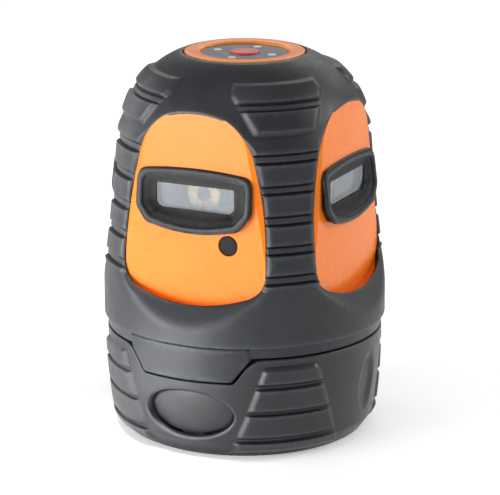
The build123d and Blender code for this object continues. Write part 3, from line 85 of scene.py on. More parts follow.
# Panels, the ledge and the cove below each, and the bevel along the rubber beside them
PANEL_DIST = 51.1
PANEL_FROM = 51.0
PANEL_LEAN = 1.75
PANEL_BULGE_R = 552.0
PANEL_FOOT = 66.5
PANEL_FOOT_END = (25.0, 71.0)
PANEL_CORNER = (31.0, 75.2)
PANEL_SIDE_LOW = (33.0, 82.0)
PANEL_SIDE_MID = (31.3, 108.5)
PANEL_SIDE_HIGH = (26.0, 133.0)
PANEL_SHOULDER = (21.4, 141.6)
PANEL_BROW = (14.0, 147.6)
PANEL_APEX = 150.0
PANEL_GAP = 0.45
SLANT = 0.7
ARC_POINTS = (28, 14, 24, 16, 16, 16, 24, 14)
LEDGE_LOW = 58.9
LEDGE_HEAD = 77.6
LEDGE_STEEP = 1.6
LEDGE_BLEND = 2.2
LEDGE_LIP = 2.05
LEDGE_LEAD = 1.0
LEDGE_FADE = 6.0
LEDGE_OUT = 12.0
FOOT_LIFT = 0.85
CORNER_LIFT = 0.7
BELT_BEVEL = 2.6
BELT_DROP = 1.3
BELT_DROP_Z = (112.0, 136.0)
LIP_ROUND = 0.8
LIP_DROP = 0.45
LIP_REACH = 4.0
JACKET_RINGS = (BELT_BEVEL + 0.1, 2.0, 1.4, 0.9, 0.5, 0.2, 0.0)
COVE_POINTS = 9
COVE_ROWS = 8
COVE_SET = 0.3
COVE_HEAD = 0.5
COVE_FADE = 13.0
COVE_SAG = 2.0
COVE_T = 0.8

# Rows of the jacket, each span with the height it reaches and its step
SKIRT_ROWS = ((SKIRT_BOTTOM + SKIRT_EDGE, 0.12), (57.0, 1.5), (78.2, 0.8))
SHIELD_FOOT_ROWS = ((141.6, 1.0), (146.0, 0.4))
DOME_ROWS = ((160.0, 0.9), (164.6, 0.35), (DOME_TOP, 0.6))
GROOVE_OUT = 0.6
GROOVE_IN = 1.5
BELT_STEP, GROOVE_STEP, WALL_STEP = 1.3, 0.6, 0.3

# Window bezels; each ring of the rim's flank, lip and foot has an inset and a drop
RIM_HALF = 27.0
RIM_TOP = 126.1
RIM_TOP_END = 124.9
RIM_SIDE_LOW = 108.0
RIM_LOW_HALF = 21.5
RIM_LOW_END = 100.6
RIM_BOTTOM = 98.2
RIM_DIST = (53.4, 49.9)
RIM_WIDTH = 3.2
RIM_CORNER = 6.0
RIM_LOW_SHARE, RIM_SIDE_SHARE, RIM_CORNER_SHARE = 0.7, 0.4, 0.6
RIM_FLANK = ((0.35, 1.9), (0.1, 1.4), (0.0, 0.95), (0.15, 0.5), (0.45, 0.18), (0.9, 0.02))
RIM_LIP = ((1.6, 0.0), (2.3, 0.03), (2.7, 0.14), (3.0, 0.32), (RIM_WIDTH, 0.6), (RIM_WIDTH + 0.1, 0.9))
RIM_FOOT = (0.5, 0.3)
NECK_HALF = 23.0
NECK_SPAN = (104.2, 124.4)
NECK_BACK = 44.0
NECK_SINK = 0.6
BOX_CUT = 2.2
NECK_CORNER, MOUTH_CORNER, POCKET_CORNER = 1.0, 0.8, 0.4
LINER_LAP = 0.5
LINER_HOLLOW = 0.7
LINER_GAP = 0.02
LINER_SHARES = (0.25, 0.5, 0.75, 1.0)
OPENING_HALF = 18.4
OPENING_SPAN = (107.7, 118.5)
GLASS_FRONT = 48.6
GLASS_HALF = 20.3
GLASS_SPAN = (106.5, 119.8)

# Base, with points as radius or half width and height
BASE_TOP = (60.6, 46.0)
BASE_MID = (59.3, 27.0)
BASE_LOW = (56.9, 7.0)
BASE_BEVEL = (53.0, 1.4)
BASE_WALL = 3.4
BASE_ARC_POINTS = 40
TREAD_H = 1.6
TREAD_HIGH = (12.1, 42.5)
TREAD_FOOT = (24.5, 3.0)
TREAD_GROOVES = ((32.5, 35.4), (20.7, 23.1), (8.0, 10.9))
TREAD_BEVEL = 1.8
TREAD_CUT = 1.2
SCOOP_Z = 26.0
SCOOP_HALF = (7.5, 14.5)
SCOOP_DEPTH = 1.6
SCOOP_SOFT = 1.25
TAB_HALF = (27.9, 20.6)
TAB_LOW = 36.2
TAB_R = (58.2, 61.4)
TAB_CORNER = 1.8
TAB_ROUND = ((0.0, 0.9), (0.1, 0.55), (0.35, 0.25), (0.7, 0.08), (1.1, 0.0))
TAB_FACE = (0.85, 0.7, 0.55, 0.4, 0.25, 0.1, 0.0)
TAB_POCKET_HALF = 7.1
TAB_POCKET_SPAN = (40.9, 44.7)
TAB_POCKET_Y = -59.95
NOTCH_GAP = 1.05
NOTCH_FOOT_BLEND = 1.6
NOTCH_HEAD_BLEND = 6.0
NOTCH_OVER_OVAL = 2.5
OVAL_Z = 20.0
OVAL_HALF = (20.2, 10.0)
OVAL_SLIT = 0.8
OVAL_POINTS = 120
BUTTON_SINK = 3.0
BUTTON_FALL = 0.5
BUTTON_T = 2.2
BUTTON_POINTS = 96
BUTTON_EDGE = (0.93, 0.5)
BUTTON_SHARES = (0.0, 0.12, 0.25, 0.38, 0.5, 0.6, 0.7, 0.78, 0.85, 0.9, 0.94, 0.97, 0.99, 1.0)
HOLE_LIP = 0.35
HOLE_ROUND = 1.0
HOLE_RINGS = (1.3, 0.9, 0.5, 0.2, 0.0)
HOLE_FAR = 9.0
FOOT_SEAT_R = 51.0
BASE_COLUMNS = 420
BASE_RIM = ((0.15, 0.15), (0.0, 0.5), (0.0, BASE_WALL), (1.5, BASE_WALL))
BASE_FOOT_ROWS = ((2.2, 0.4), (5.0, 0.35))
BASE_HEAD_ROWS = ((40.0, 0.9), (43.6, 0.35), (BASE_TOP[1] - 0.5, 0.7))
TREAD_OUT = 0.5
TREAD_STEP = 1.0

# Sections of the turned rings as radius and height, and the coil of the tripod thread
KEYPAD_RING = (
    (17.2, 163.3), (26.2, 163.3), (26.2, 167.6), (26.05, 168.0), (25.6, 168.25), (25.0, 168.3),
    (22.5, 168.22), (20.4, 168.08), (19.7, 167.9), (19.35, 167.6), (19.2, 167.2), (19.2, 165.4),
    (17.2, 165.4),
)
FOOT_RING = (
    (43.5, 3.0), (43.5, 0.6), (43.7, 0.25), (44.2, 0.0), (46.4, 0.0), (47.2, 0.3), (48.0, 0.0),
    (50.3, 0.0), (50.8, 0.25), (51.0, 0.6), (51.0, 3.0),
)
FOOT_LIFTS = (0.0, 0.0, 0.4, 0.4, 0.0)
FOOT_SECTORS = 90
THREAD_TURNS = 5.2
TURN_POINTS, WIRE_POINTS = 48, 10
THREAD = {"Radius": 6.82 * MM, "Height": 12.0 * MM, "Wire": 0.45 * MM, "Start": 2.0 * MM}


def ease(share):
    """Smooth rise from 0 to 1."""
    share = np.clip(share, 0, 1)
    return share * share * (3 - 2 * share)


def ramp(share):
    """Straight rise from 0 to 1 with both ends softened, as of a flat bevel."""
    share = np.clip(share, -BEVEL_SOFT, 1 + BEVEL_SOFT)
    low = (share + BEVEL_SOFT) ** 2 / (4 * BEVEL_SOFT)
    high = 1 - (1 + BEVEL_SOFT - share) ** 2 / (4 * BEVEL_SOFT)
    return np.where(share < BEVEL_SOFT, low, np.where(share < 1 - BEVEL_SOFT, share, high))


def soft_min(a, b, blend):
    """The smaller of two fields, rounded where they meet."""
    share = np.clip(0.5 + 0.5 * (b - a) / blend, 0, 1)
    return b + (a - b) * share - blend * share * (1 - share)


def arc_through(start, middle, end, count):
    """Points of the round arc from start through middle, without its end."""
    (ax, ay), (bx, by), (cx, cy) = start, middle, end
    d = 2 * (ax * (by - cy) + bx * (cy - ay) + cx * (ay - by))
    a2, b2, c2 = ax * ax + ay * ay, bx * bx + by * by, cx * cx + cy * cy
    ox = (a2 * (by - cy) + b2 * (cy - ay) + c2 * (ay - by)) / d
    oy = (a2 * (cx - bx) + b2 * (ax - cx) + c2 * (bx - ax)) / d
    radius = sqrt((ax - ox) ** 2 + (ay - oy) ** 2)
    first = atan2(ay - oy, ax - ox)
    turn = (atan2(cy - oy, cx - ox) - first) % (2 * pi)
    passing = (atan2(by - oy, bx - ox) - first) % (2 * pi)
    if passing > turn:
        turn -= 2 * pi
    angles = first + turn * np.arange(count) / count
    return np.stack([ox + radius * np.cos(angles), oy + radius * np.sin(angles)], 1)


class Outline:
    """A closed outline that tells how far a point lies outside it."""

    batch = 2000

    def __init__(self, points):
        self.start = np.asarray(points, float)
        self.run = np.roll(self.start, -1, 0) - self.start
        self.run_sq = (self.run**2).sum(1)

    def foot(self, points):
        """Nearest points of the outline."""
        feet = np.zeros_like(points)
        for first in range(0, len(points), self.batch):
            part = points[first : first + self.batch, None, :]
            share = np.clip(((part - self.start) * self.run).sum(2) / self.run_sq, 0, 1)
            near = self.start + share[..., None] * self.run
            best = ((near - part) ** 2).sum(2).argmin(1)
            feet[first : first + self.batch] = near[np.arange(len(best)), best]
        return feet

    def distance(self, points):
        """Distance to the outline, below 0 inside it."""
        shape = points.shape[:-1]
        points = points.reshape(-1, 2)
        away = np.sqrt(((points - self.foot(points)) ** 2).sum(1))
        inside = np.zeros(len(points), bool)
        x, y = points.T
        for (x0, y0), (x1, y1) in zip(self.start, self.start + self.run):
            if y1 != y0:
                crosses = (y0 > y) != (y1 > y)
                inside ^= crosses & (x < x0 + (y - y0) * (x1 - x0) / (y1 - y0))
        return np.where(inside, -away, away).reshape(shape)


def panel_outline(grow, lift):
    """Outline of a panel as seen from its side, made larger by a gap, with its foot lifted."""
    slant = SLANT * grow
    right = [
        (PANEL_FOOT_END[0] + slant / 2, PANEL_FOOT_END[1] - grow + FOOT_LIFT * lift),
        (PANEL_CORNER[0] + slant, PANEL_CORNER[1] - slant + CORNER_LIFT * lift),
        (PANEL_SIDE_LOW[0] + grow, PANEL_SIDE_LOW[1]),
        (PANEL_SIDE_MID[0] + grow, PANEL_SIDE_MID[1]),
        (PANEL_SIDE_HIGH[0] + grow, PANEL_SIDE_HIGH[1]),
        (PANEL_SHOULDER[0] + slant, PANEL_SHOULDER[1] + slant),
        (PANEL_BROW[0] + slant / 2, PANEL_BROW[1] + grow),
    ]
    left = [(-x, z) for x, z in reversed(right)]
    way = [left[-1], (0, PANEL_FOOT - grow + lift), *right, (0, PANEL_APEX + grow), *left]
    arcs = [arc_through(*way[2 * i : 2 * i + 3], count) for i, count in enumerate(ARC_POINTS)]
    return Outline(np.concatenate(arcs))


OPENING = panel_outline(PANEL_GAP, LEDGE_LIP)


def plate_outline(low, high, cut):
    """Upright plate that widens or narrows upwards, with its upper corners cut."""
    slope = (high[0] - low[0]) / (high[1] - low[1])
    right = [(low[0], low[1]), (high[0] - slope * cut, high[1] - cut), (high[0] - cut, high[1])]
    left = [(-x, z) for x, z in reversed(right)]
    return Outline(right + left)


SHIELD = plate_outline(SHIELD_LOW, SHIELD_HIGH, SHIELD_CUT)
TREAD = plate_outline(TREAD_FOOT, TREAD_HIGH, TREAD_CUT)


def groove_fall(z, low, high, depth):
    """Fall of the surface in a groove: steep walls, a crease at each foot and a low crown between."""
    inside = np.minimum(z - low, high - z)
    wall = ease((inside + GROOVE_LEAD) / GROOVE_WALL)
    crown = ease((inside - CROWN_FROM) / CROWN_WALL)
    return wall * (depth - GROOVE_CROWN * crown)


def head_radius(z):
    """Radius of the belts and shields at a height."""
    edge = np.clip(SKIRT_BOTTOM + SKIRT_EDGE - z, 0, SKIRT_EDGE)
    skirt = SKIRT_R - SKIRT_EDGE + np.sqrt(SKIRT_EDGE**2 - edge**2)
    dome = DOME_CENTRE_R + np.sqrt(np.maximum(DOME_R**2 - (z - DOME_CENTRE_Z) ** 2, 0))
    joint_r = DOME_CENTRE_R + sqrt(DOME_R**2 - (SIDE_TOP - DOME_CENTRE_Z) ** 2)
    side = SKIRT_R + (z - SKIRT_TOP) / (SIDE_TOP - SKIRT_TOP) * (joint_r - SKIRT_R)
    return np.where(z < SKIRT_TOP, skirt, np.where(z < SIDE_TOP, side, dome))


def head_point(turn, z, inset):
    """Place on the jacket at an angle from the middle of a panel, moved back by an inset."""
    radius = head_radius(z)
    slope = (head_radius(z + SLOPE_STEP) - head_radius(z - SLOPE_STEP)) / (2 * SLOPE_STEP)
    slope = np.where(z < SKIRT_TOP, 0, slope)
    out_r, out_z = 1 / np.sqrt(1 + slope**2), -slope / np.sqrt(1 + slope**2)
    across = radius * np.sin(turn)
    corner_across = radius * np.sin(np.abs(turn) - pi / 4)
    to_opening = OPENING.distance(np.stack([across, z], -1))
    in_shield = -SHIELD.distance(np.stack([corner_across, z], -1))

    fall = ease((z - GROOVES[-1][1]) / (FADE_TOP - GROOVES[-1][1])) * RELIEF
    for low, high in GROOVES:
        fall = np.maximum(fall, groove_fall(z, low, high, RELIEF))
    shield_fall = RELIEF * (1 - ramp((in_shield + PLATE_LEAD) / SHIELD_BEVEL))
    shield_fall = np.maximum(shield_fall, groove_fall(z, *SHIELD_GROOVE, RELIEF))
    fall = np.where(in_shield > -SHIELD_NEAR, np.minimum(fall, shield_fall), fall)

    bevel = 1 - ease(to_opening / BELT_BEVEL)
    lip = LIP_DROP * (1 - ease(to_opening / LIP_ROUND))
    round_fall = np.maximum(fall, RELIEF * bevel) + lip
    out = radius - round_fall * out_r
    round_place = np.stack([out * np.sin(turn), out * np.cos(turn), z - round_fall * out_z], -1)
    lip_fall = np.maximum(fall, BELT_DROP * bevel) + lip
    lip_place = np.stack([across, radius * np.cos(turn) - lip_fall, z], -1)
    fade = ease((z - BELT_DROP_Z[0]) / (BELT_DROP_Z[1] - BELT_DROP_Z[0]))
    near_lip = (1 - ease(to_opening / LIP_REACH)) * (1 - fade)
    place = round_place + near_lip[..., None] * (lip_place - round_place)

    ledge = SKIRT_R - (np.minimum(z, LEDGE_HEAD) - LEDGE_LOW) / LEDGE_STEEP - lip
    ledge = ledge + LEDGE_OUT * ease((z - LEDGE_HEAD + LEDGE_LEAD) / LEDGE_FADE)
    away = np.where(z < SIDE_TOP, soft_min(place[..., 1], ledge, LEDGE_BLEND), place[..., 1])
    return np.stack([place[..., 0], inset - away, place[..., 2]], -1)


def graded(start, spans):
    """Heights from a start through spans, each with the height it reaches and its step."""
    heights = [start]
    low = start
    for high, step in spans:
        count = max(1, round((high - low) / step))
        heights.extend(low + (high - low) * np.arange(1, count + 1) / count)
        low = high
    return np.array(heights)


def head_rows():
    """Heights of the jacket's rows, close together at the grooves."""
    spans = list(SKIRT_ROWS)
    for low, high in GROOVES + (SHIELD_GROOVE,):
        if low > spans[-1][0] + 2 * GROOVE_OUT:
            spans.append((low - GROOVE_OUT, BELT_STEP))
        spans.append((low + GROOVE_IN, WALL_STEP))
        spans.append((high - GROOVE_IN, GROOVE_STEP))
        spans.append((high + GROOVE_OUT, WALL_STEP))
        if high == GROOVES[-1][1]:
            spans.extend(SHIELD_FOOT_ROWS)
    return graded(SKIRT_BOTTOM, spans + list(DOME_ROWS))


def new_piece(name, verts, faces):
    """Mesh piece at the origin, from places in millimetres."""
    mesh = bpy.data.meshes.new(name)
    mesh.from_pydata((np.asarray(verts) * MM).tolist(), [], faces)
    mesh.update()
    piece = bpy.data.objects.new(name, mesh)
    bpy.context.scene.collection.objects.link(piece)
    return piece


def cut_sheet(grid, outline, radius_at, place, rings, wall=0.0, wrap=False):
    """Sheet over a grid of angles, heights and insets, with a hole edged by rings of even width."""

    def flat(params):
        return np.stack([radius_at(params[:, 1]) * np.sin(params[:, 0]), params[:, 1]], -1)

    rows, columns = grid.shape[:2]
    params = grid.reshape(-1, 3)
    away = outline.distance(flat(params)) - rings[0]
    away[(np.cos(params[:, 0]) < 0) | (params[:, 2] > 0)] = rings[0]
    params = params.tolist()
    faces = []
    crossing = {}
    links = {}
    for row in range(rows - 1):
        for column in range(columns if wrap else columns - 1):
            beside = (column + 1) % columns
            here, there = row * columns, (row + 1) * columns
            corners = [here + column, here + beside, there + beside, there + column]
            outside = [away[c] > 0 for c in corners]
            if all(outside):
                faces.append(corners)
            if all(outside) or not any(outside):
                continue
            polygon = []
            leaving = entering = None
            for a, b in zip(corners, corners[1:] + corners[:1]):
                if away[a] > 0:
                    polygon.append(a)
                if (away[a] > 0) == (away[b] > 0):
                    continue
                key = (min(a, b), max(a, b))
                if key not in crossing:
                    share = away[key[0]] / (away[key[0]] - away[key[1]])
                    crossing[key] = len(params)
                    ends = zip(params[key[0]], params[key[1]])
                    params.append([p + share * (q - p) for p, q in ends])
                polygon.append(crossing[key])
                if away[a] > 0:
                    leaving = crossing[key]
                else:
                    entering = crossing[key]
            faces.append(polygon)
            links[entering] = leaving
    loop = [next(iter(links))]
    while links[loop[-1]] != loop[0]:
        loop.append(links[loop[-1]])

    params = np.array(params)
    edge = flat(params[loop])
    feet = outline.foot(edge)
    direction = edge - feet
    direction /= np.maximum(np.sqrt((direction**2).sum(1)), TINY)[:, None]
    stacks = [params]
    for ring, inset in [(ring, 0.0) for ring in rings[1:]] + [(0.0, wall)] * (wall > 0):
        ring_flat = feet + direction * ring
        ring_turn = np.arcsin(np.clip(ring_flat[:, 0] / radius_at(ring_flat[:, 1]), -1, 1))
        stacks.append(np.stack([ring_turn, ring_flat[:, 1], np.full(len(loop), inset)], -1))
    numbers = loop + list(range(len(params), len(params) + len(loop) * (len(stacks) - 1)))
    for face in loft_faces(len(stacks), len(loop)):
        faces.append([numbers[v] for v in face])
    return drop_unused(place(*np.concatenate(stacks).T), faces)


def drop_unused(verts, faces):
    """The same faces with only the vertices that they use."""
    used = sorted({v for face in faces for v in face})
    place_of = {v: i for i, v in enumerate(used)}
    return verts[used], [[place_of[v] for v in face] for face in faces]


def node_tree(name, inputs):
    """Empty geometry node tree with named inputs, the sockets that bring them and its last socket."""
    tree = bpy.data.node_groups.new(name, "GeometryNodeTree")
    tree.interface.new_socket("Geometry", in_out="INPUT", socket_type="NodeSocketGeometry")
    for label, kind in inputs.items():
        tree.interface.new_socket(label, in_out="INPUT", socket_type=kind)
    tree.interface.new_socket("Geometry", in_out="OUTPUT", socket_type="NodeSocketGeometry")
    start, end = tree.nodes.new("NodeGroupInput"), tree.nodes.new("NodeGroupOutput")
    return tree, start.outputs, end.inputs["Geometry"]


def add_node(tree, kind, inputs, output=0, **settings):
    """Output of a new node, whose inputs are linked to sockets or set to values."""
    node = tree.nodes.new(kind)
    for name, value in settings.items():
        setattr(node, name, value)
    for name, value in inputs.items():
        if isinstance(value, bpy.types.NodeSocket):
            tree.links.new(value, node.inputs[name])
        else:
            node.inputs[name].default_value = value
    return node.outputs[output]


def round_tree():
    """Node tree that repeats a sector round the upright axis and joins the copies."""
    inputs = {"Count": "NodeSocketInt", "Join": "NodeSocketFloat", "Material": "NodeSocketMaterial"}
    tree, given, end = node_tree("repeat_round", inputs)
    points = add_node(tree, "GeometryNodeMeshLine", {"Count": given["Count"], "Offset": (0, 0, 0)})
    index = add_node(tree, "GeometryNodeInputIndex", {})
    step = add_node(tree, "ShaderNodeMath", {0: 2 * pi, 1: given["Count"]}, operation="DIVIDE")
    angle = add_node(tree, "ShaderNodeMath", {0: index, 1: step}, operation="MULTIPLY")
    turn = add_node(tree, "ShaderNodeCombineXYZ", {"Z": angle})
    sources = {"Points": points, "Instance": given["Geometry"], "Rotation": turn}
    copies = add_node(tree, "GeometryNodeInstanceOnPoints", sources)
    real = add_node(tree, "GeometryNodeRealizeInstances", {0: copies})
    joined = add_node(tree, "GeometryNodeMergeByDistance", {"Geometry": real, "Distance": given["Join"]})
    painted = add_node(tree, "GeometryNodeSetMaterial", {"Geometry": joined, "Material": given["Material"]})
    tree.links.new(painted, end)
    return tree


ROUND_TREE = round_tree()


def grown(piece, tree, **values):
    """Run a piece through a node tree and keep the result as its plain mesh."""
    modifier = piece.modifiers.new("grow", "NODES")
    modifier.node_group = tree
    for item in tree.interface.items_tree:
        if item.in_out == "INPUT" and item.name in values:
            modifier[item.identifier] = values[item.name]
    view = bpy.context.evaluated_depsgraph_get()
    mesh = bpy.data.meshes.new_from_object(piece.evaluated_get(view))
    piece.modifiers.remove(modifier)
    piece.data = mesh
    mesh.name = piece.name


def thicken(piece, thickness):
    """Give a sheet a wall behind it, in millimetres."""
    wall = piece.modifiers.new("wall", "SOLIDIFY")
    wall.thickness = thickness * MM
    wall.offset = -1


def face_outwards(piece, join=0.0):
    """Turn a piece's faces outwards, once points within a distance in millimetres are joined."""
    bm = bmesh.new()
    bm.from_mesh(piece.data)
    if join:
        bmesh.ops.remove_doubles(bm, verts=bm.verts, dist=join * MM)
    bmesh.ops.recalc_face_normals(bm, faces=bm.faces)
    bm.to_mesh(piece.data)
    bm.free()


def mark_edges(piece, reach=3, own_share=0.4, gain=2.0):
    """Store how convex or hollow the surface is at each point, for rubbed edges that are partly painted
    highlight and for painted shade in creases.
    """
    least_length, least_width, edges_at_point = 0.25, 0.1, 4
    bm = bmesh.new()
    bm.from_mesh(piece.data)
    bend = np.zeros(len(bm.verts))
    for edge in bm.edges:
        if len(edge.link_faces) == 2:
            length = edge.calc_length() / MM
            turn = edge.calc_face_angle_signed() / max(length, least_length)
            width = min(f.calc_area() for f in edge.link_faces) / max(edge.calc_length(), TINY) / MM
            for vert in edge.verts:
                bend[vert.index] += turn * length / max(width, least_width) / edges_at_point
    pairs = np.array([[v.index for v in edge.verts] for edge in bm.edges])
    bm.free()
    count = np.bincount(pairs.ravel(), minlength=len(bend))
    for _ in range(reach):
        around = np.zeros(len(bend))
        np.add.at(around, pairs[:, 0], bend[pairs[:, 1]])
        np.add.at(around, pairs[:, 1], bend[pairs[:, 0]])
        bend = own_share * bend + (1 - own_share) * around / np.maximum(count, 1)
    # This value lightens convex edges (wear and painted highlight) and darkens hollows (painted shade).
    layer = piece.data.attributes.new("edge", "FLOAT", "POINT")
    layer.data.foreach_set("value", np.clip(bend * gain, -1, 1))


def smooth(piece, angle):
    """Smooth shading with sharp edges past an angle."""
    piece.data.shade_smooth()
    piece.data.set_sharp_from_angle(angle=radians(angle))


FINISHES = {}


class Finish:
    """A procedural material: one shader and the patterns that feed it."""

    def __init__(self, name, **values):
        self.material = FINISHES[name] = bpy.data.materials.new(name)
        self.material.use_nodes = True
        self.tree = self.material.node_tree
        self.shader = self.tree.nodes["Principled BSDF"]
        for socket, value in values.items():
            self.shader.inputs[socket.replace("_", " ")].default_value = value
        self.place = add_node(self.tree, "ShaderNodeTexCoord", {}, "Object")

    def feed(self, socket, output):
        """Let a pattern drive an input of the shader."""
        self.tree.links.new(output, self.shader.inputs[socket])

    def noise(self, size, detail=3.0, roughness=0.55, stretch=None):
        """Soft noise whose features are about this many millimetres wide."""
        place = self.place
        if stretch:
            place = add_node(self.tree, "ShaderNodeMapping", {"Scale": stretch, "Vector": place})
        inputs = {"Scale": 1 / (size * MM), "Detail": detail, "Roughness": roughness, "Vector": place}
        return add_node(self.tree, "ShaderNodeTexNoise", inputs, "Fac")

    def cells(self, size, kind="EUCLIDEAN"):
        """Small cells, as of a grained mould."""
        inputs = {"Scale": 1 / (size * MM), "Vector": self.place}
        return add_node(self.tree, "ShaderNodeTexVoronoi", inputs, "Distance", distance=kind)

    def attribute(self, name):
        """A value that is stored on the mesh."""
        return add_node(self.tree, "ShaderNodeAttribute", {}, "Fac", attribute_name=name)

    def spread(self, output, low, high, start=0.3, end=0.7):
        """The pattern's span from start to end, stretched to run from low to high."""
        inputs = {"Value": output, "From Min": start, "From Max": end, "To Min": low, "To Max": high}
        return add_node(self.tree, "ShaderNodeMapRange", inputs, "Result")

    def colours(self, output, *stops):
        """Colour ramp over a pattern."""
        node = self.tree.nodes.new("ShaderNodeValToRGB")
        for element, (position, colour) in zip(node.color_ramp.elements, stops):
            element.position = position
            element.color = (*colour, 1)
        self.tree.links.new(output, node.inputs["Fac"])
        return node.outputs["Color"]

    def blend(self, share, first, second, mode="MIX"):
        """A colour pattern mixed by a share with another, or with one plain colour."""
        if isinstance(second, tuple):
            second = (*second, 1)
        inputs = {0: share, 6: first, 7: second}
        return add_node(self.tree, "ShaderNodeMix", inputs, 2, data_type="RGBA", blend_type=mode)

    def times(self, first, second):
        """Two patterns multiplied."""
        return add_node(self.tree, "ShaderNodeMath", {0: first, 1: second}, operation="MULTIPLY")

    def bump(self, *layers):
        """Relief from several patterns, each with its strength and its depth in millimetres."""
        under = {}
        for output, strength, depth in layers:
            inputs = {"Strength": strength, "Distance": depth * MM, "Height": output, **under}
            under = {"Normal": add_node(self.tree, "ShaderNodeBump", inputs)}
        self.feed("Normal", under["Normal"])


def moulded(name, dark, light, roughness, grain, grain_depth, mottle, shine, subsurface=0.0):
    """Moulded plastic or rubber: patchy colour, painted shade in hollow creases, edges lightened partly by
    wear and partly as painted highlight, uneven gloss and a fine grain.
    """
    wear_and_highlight_strength, crease_shade_strength, patch, uneven = 0.75, 0.9, 14, 0.06
    finish = Finish(name, Specular_IOR_Level=shine, Subsurface_Weight=subsurface)
    colour = finish.colours(finish.noise(patch, 4), (0.3, dark), (0.7, light))
    fine = finish.colours(finish.noise(0.9, 2), (0.35, (1 - mottle,) * 3), (0.65, (1, 1, 1)))
    colour = finish.blend(1.0, colour, fine, "MULTIPLY")
    edge = finish.attribute("edge")
    scuffs = finish.spread(finish.noise(2.5, 4), 0.35, 1.0, 0.35, 0.65)
    # Convex edges lightened where scuffs fall: partly real wear, partly a painted highlight on the bevels.
    wear_and_highlight = finish.times(finish.spread(edge, 0.0, wear_and_highlight_strength, 0.1, 0.9), scuffs)
    colour = finish.blend(wear_and_highlight, colour, tuple(min(1.0, 0.02 + 1.9 * channel) for channel in light))
    # Painted shade: hollow creases are darkened towards a quarter of the dark tone.
    painted_crease_shade = tuple(0.25 * channel for channel in dark)
    colour = finish.blend(finish.spread(edge, crease_shade_strength, 0.0, -0.7, -0.1), colour, painted_crease_shade)
    finish.feed("Base Color", colour)
    finish.feed("Roughness", finish.spread(finish.noise(5, 3), roughness - uneven, roughness + uneven))
    finish.bump((finish.cells(grain), 0.35, grain_depth), (finish.noise(6, 2), 0.12, 0.1))


def machined(name, dark, light, roughness, stretch=(1, 1, 12)):
    """Turned or drawn metal: fine tool lines, patchy tone and dull spots."""
    finish = Finish(name, Metallic=1.0)
    lines = finish.noise(1.2, 4, 0.6, stretch)
    colour = finish.colours(finish.noise(6, 4), (0.3, dark), (0.7, light))
    shade = finish.colours(lines, (0.3, (0.82, 0.82, 0.82)), (0.7, (1, 1, 1)))
    finish.feed("Base Color", finish.blend(1.0, colour, shade, "MULTIPLY"))
    finish.feed("Roughness", finish.spread(finish.noise(3, 4), roughness - 0.08, roughness + 0.1))
    finish.bump((lines, 0.25, 0.02))


def glazed(name, tint, roughness, **values):
    """Clear or half mirrored glass with a faint film of dust."""
    finish = Finish(name, IOR=1.5, **values)
    filmed = tuple(0.93 * channel for channel in tint)
    finish.feed("Base Color", finish.colours(finish.noise(18, 4), (0.35, filmed), (0.65, tint)))
    finish.feed("Roughness", finish.spread(finish.noise(4, 4), roughness, roughness + 0.05))
    finish.bump((finish.noise(25, 1), 0.04, 0.2))


def circuit_board(name):
    """Solder mask over copper tracks, with bare pads."""
    finish = Finish(name, Specular_IOR_Level=0.6)
    mask = finish.colours(finish.noise(8, 3), (0.3, (0.006, 0.060, 0.022)), (0.7, (0.010, 0.085, 0.032)))
    tracks = finish.spread(finish.cells(3.2, "MANHATTAN"), 0.0, 1.0, 0.46, 0.52)
    colour = finish.blend(finish.spread(tracks, 0.0, 0.6, 0.0, 1.0), mask, (0.020, 0.150, 0.055))
    pads = finish.spread(finish.cells(2.1, "CHEBYCHEV"), 1.0, 0.0, 0.12, 0.15)
    finish.feed("Base Color", finish.blend(pads, colour, (0.55, 0.50, 0.40)))
    finish.feed("Roughness", finish.spread(finish.noise(2, 3), 0.28, 0.42))
    finish.bump((tracks, 0.3, 0.03), (pads, 0.4, 0.03))


def cell_sleeve(name):
    """Sleeve of a battery cell: satin film with a few scuffs."""
    finish = Finish(name, Metallic=0.35, Specular_IOR_Level=0.6)
    film = finish.colours(finish.noise(10, 3), (0.3, (0.020, 0.024, 0.030)), (0.7, (0.030, 0.035, 0.042)))
    scuffs = finish.spread(finish.noise(1.2, 5, 0.7), 0.0, 0.5, 0.58, 0.72)
    finish.feed("Base Color", finish.blend(scuffs, film, (0.18, 0.18, 0.18)))
    finish.feed("Roughness", finish.spread(finish.noise(4, 3), 0.26, 0.4))
    finish.bump((finish.noise(0.8, 3), 0.08, 0.02))


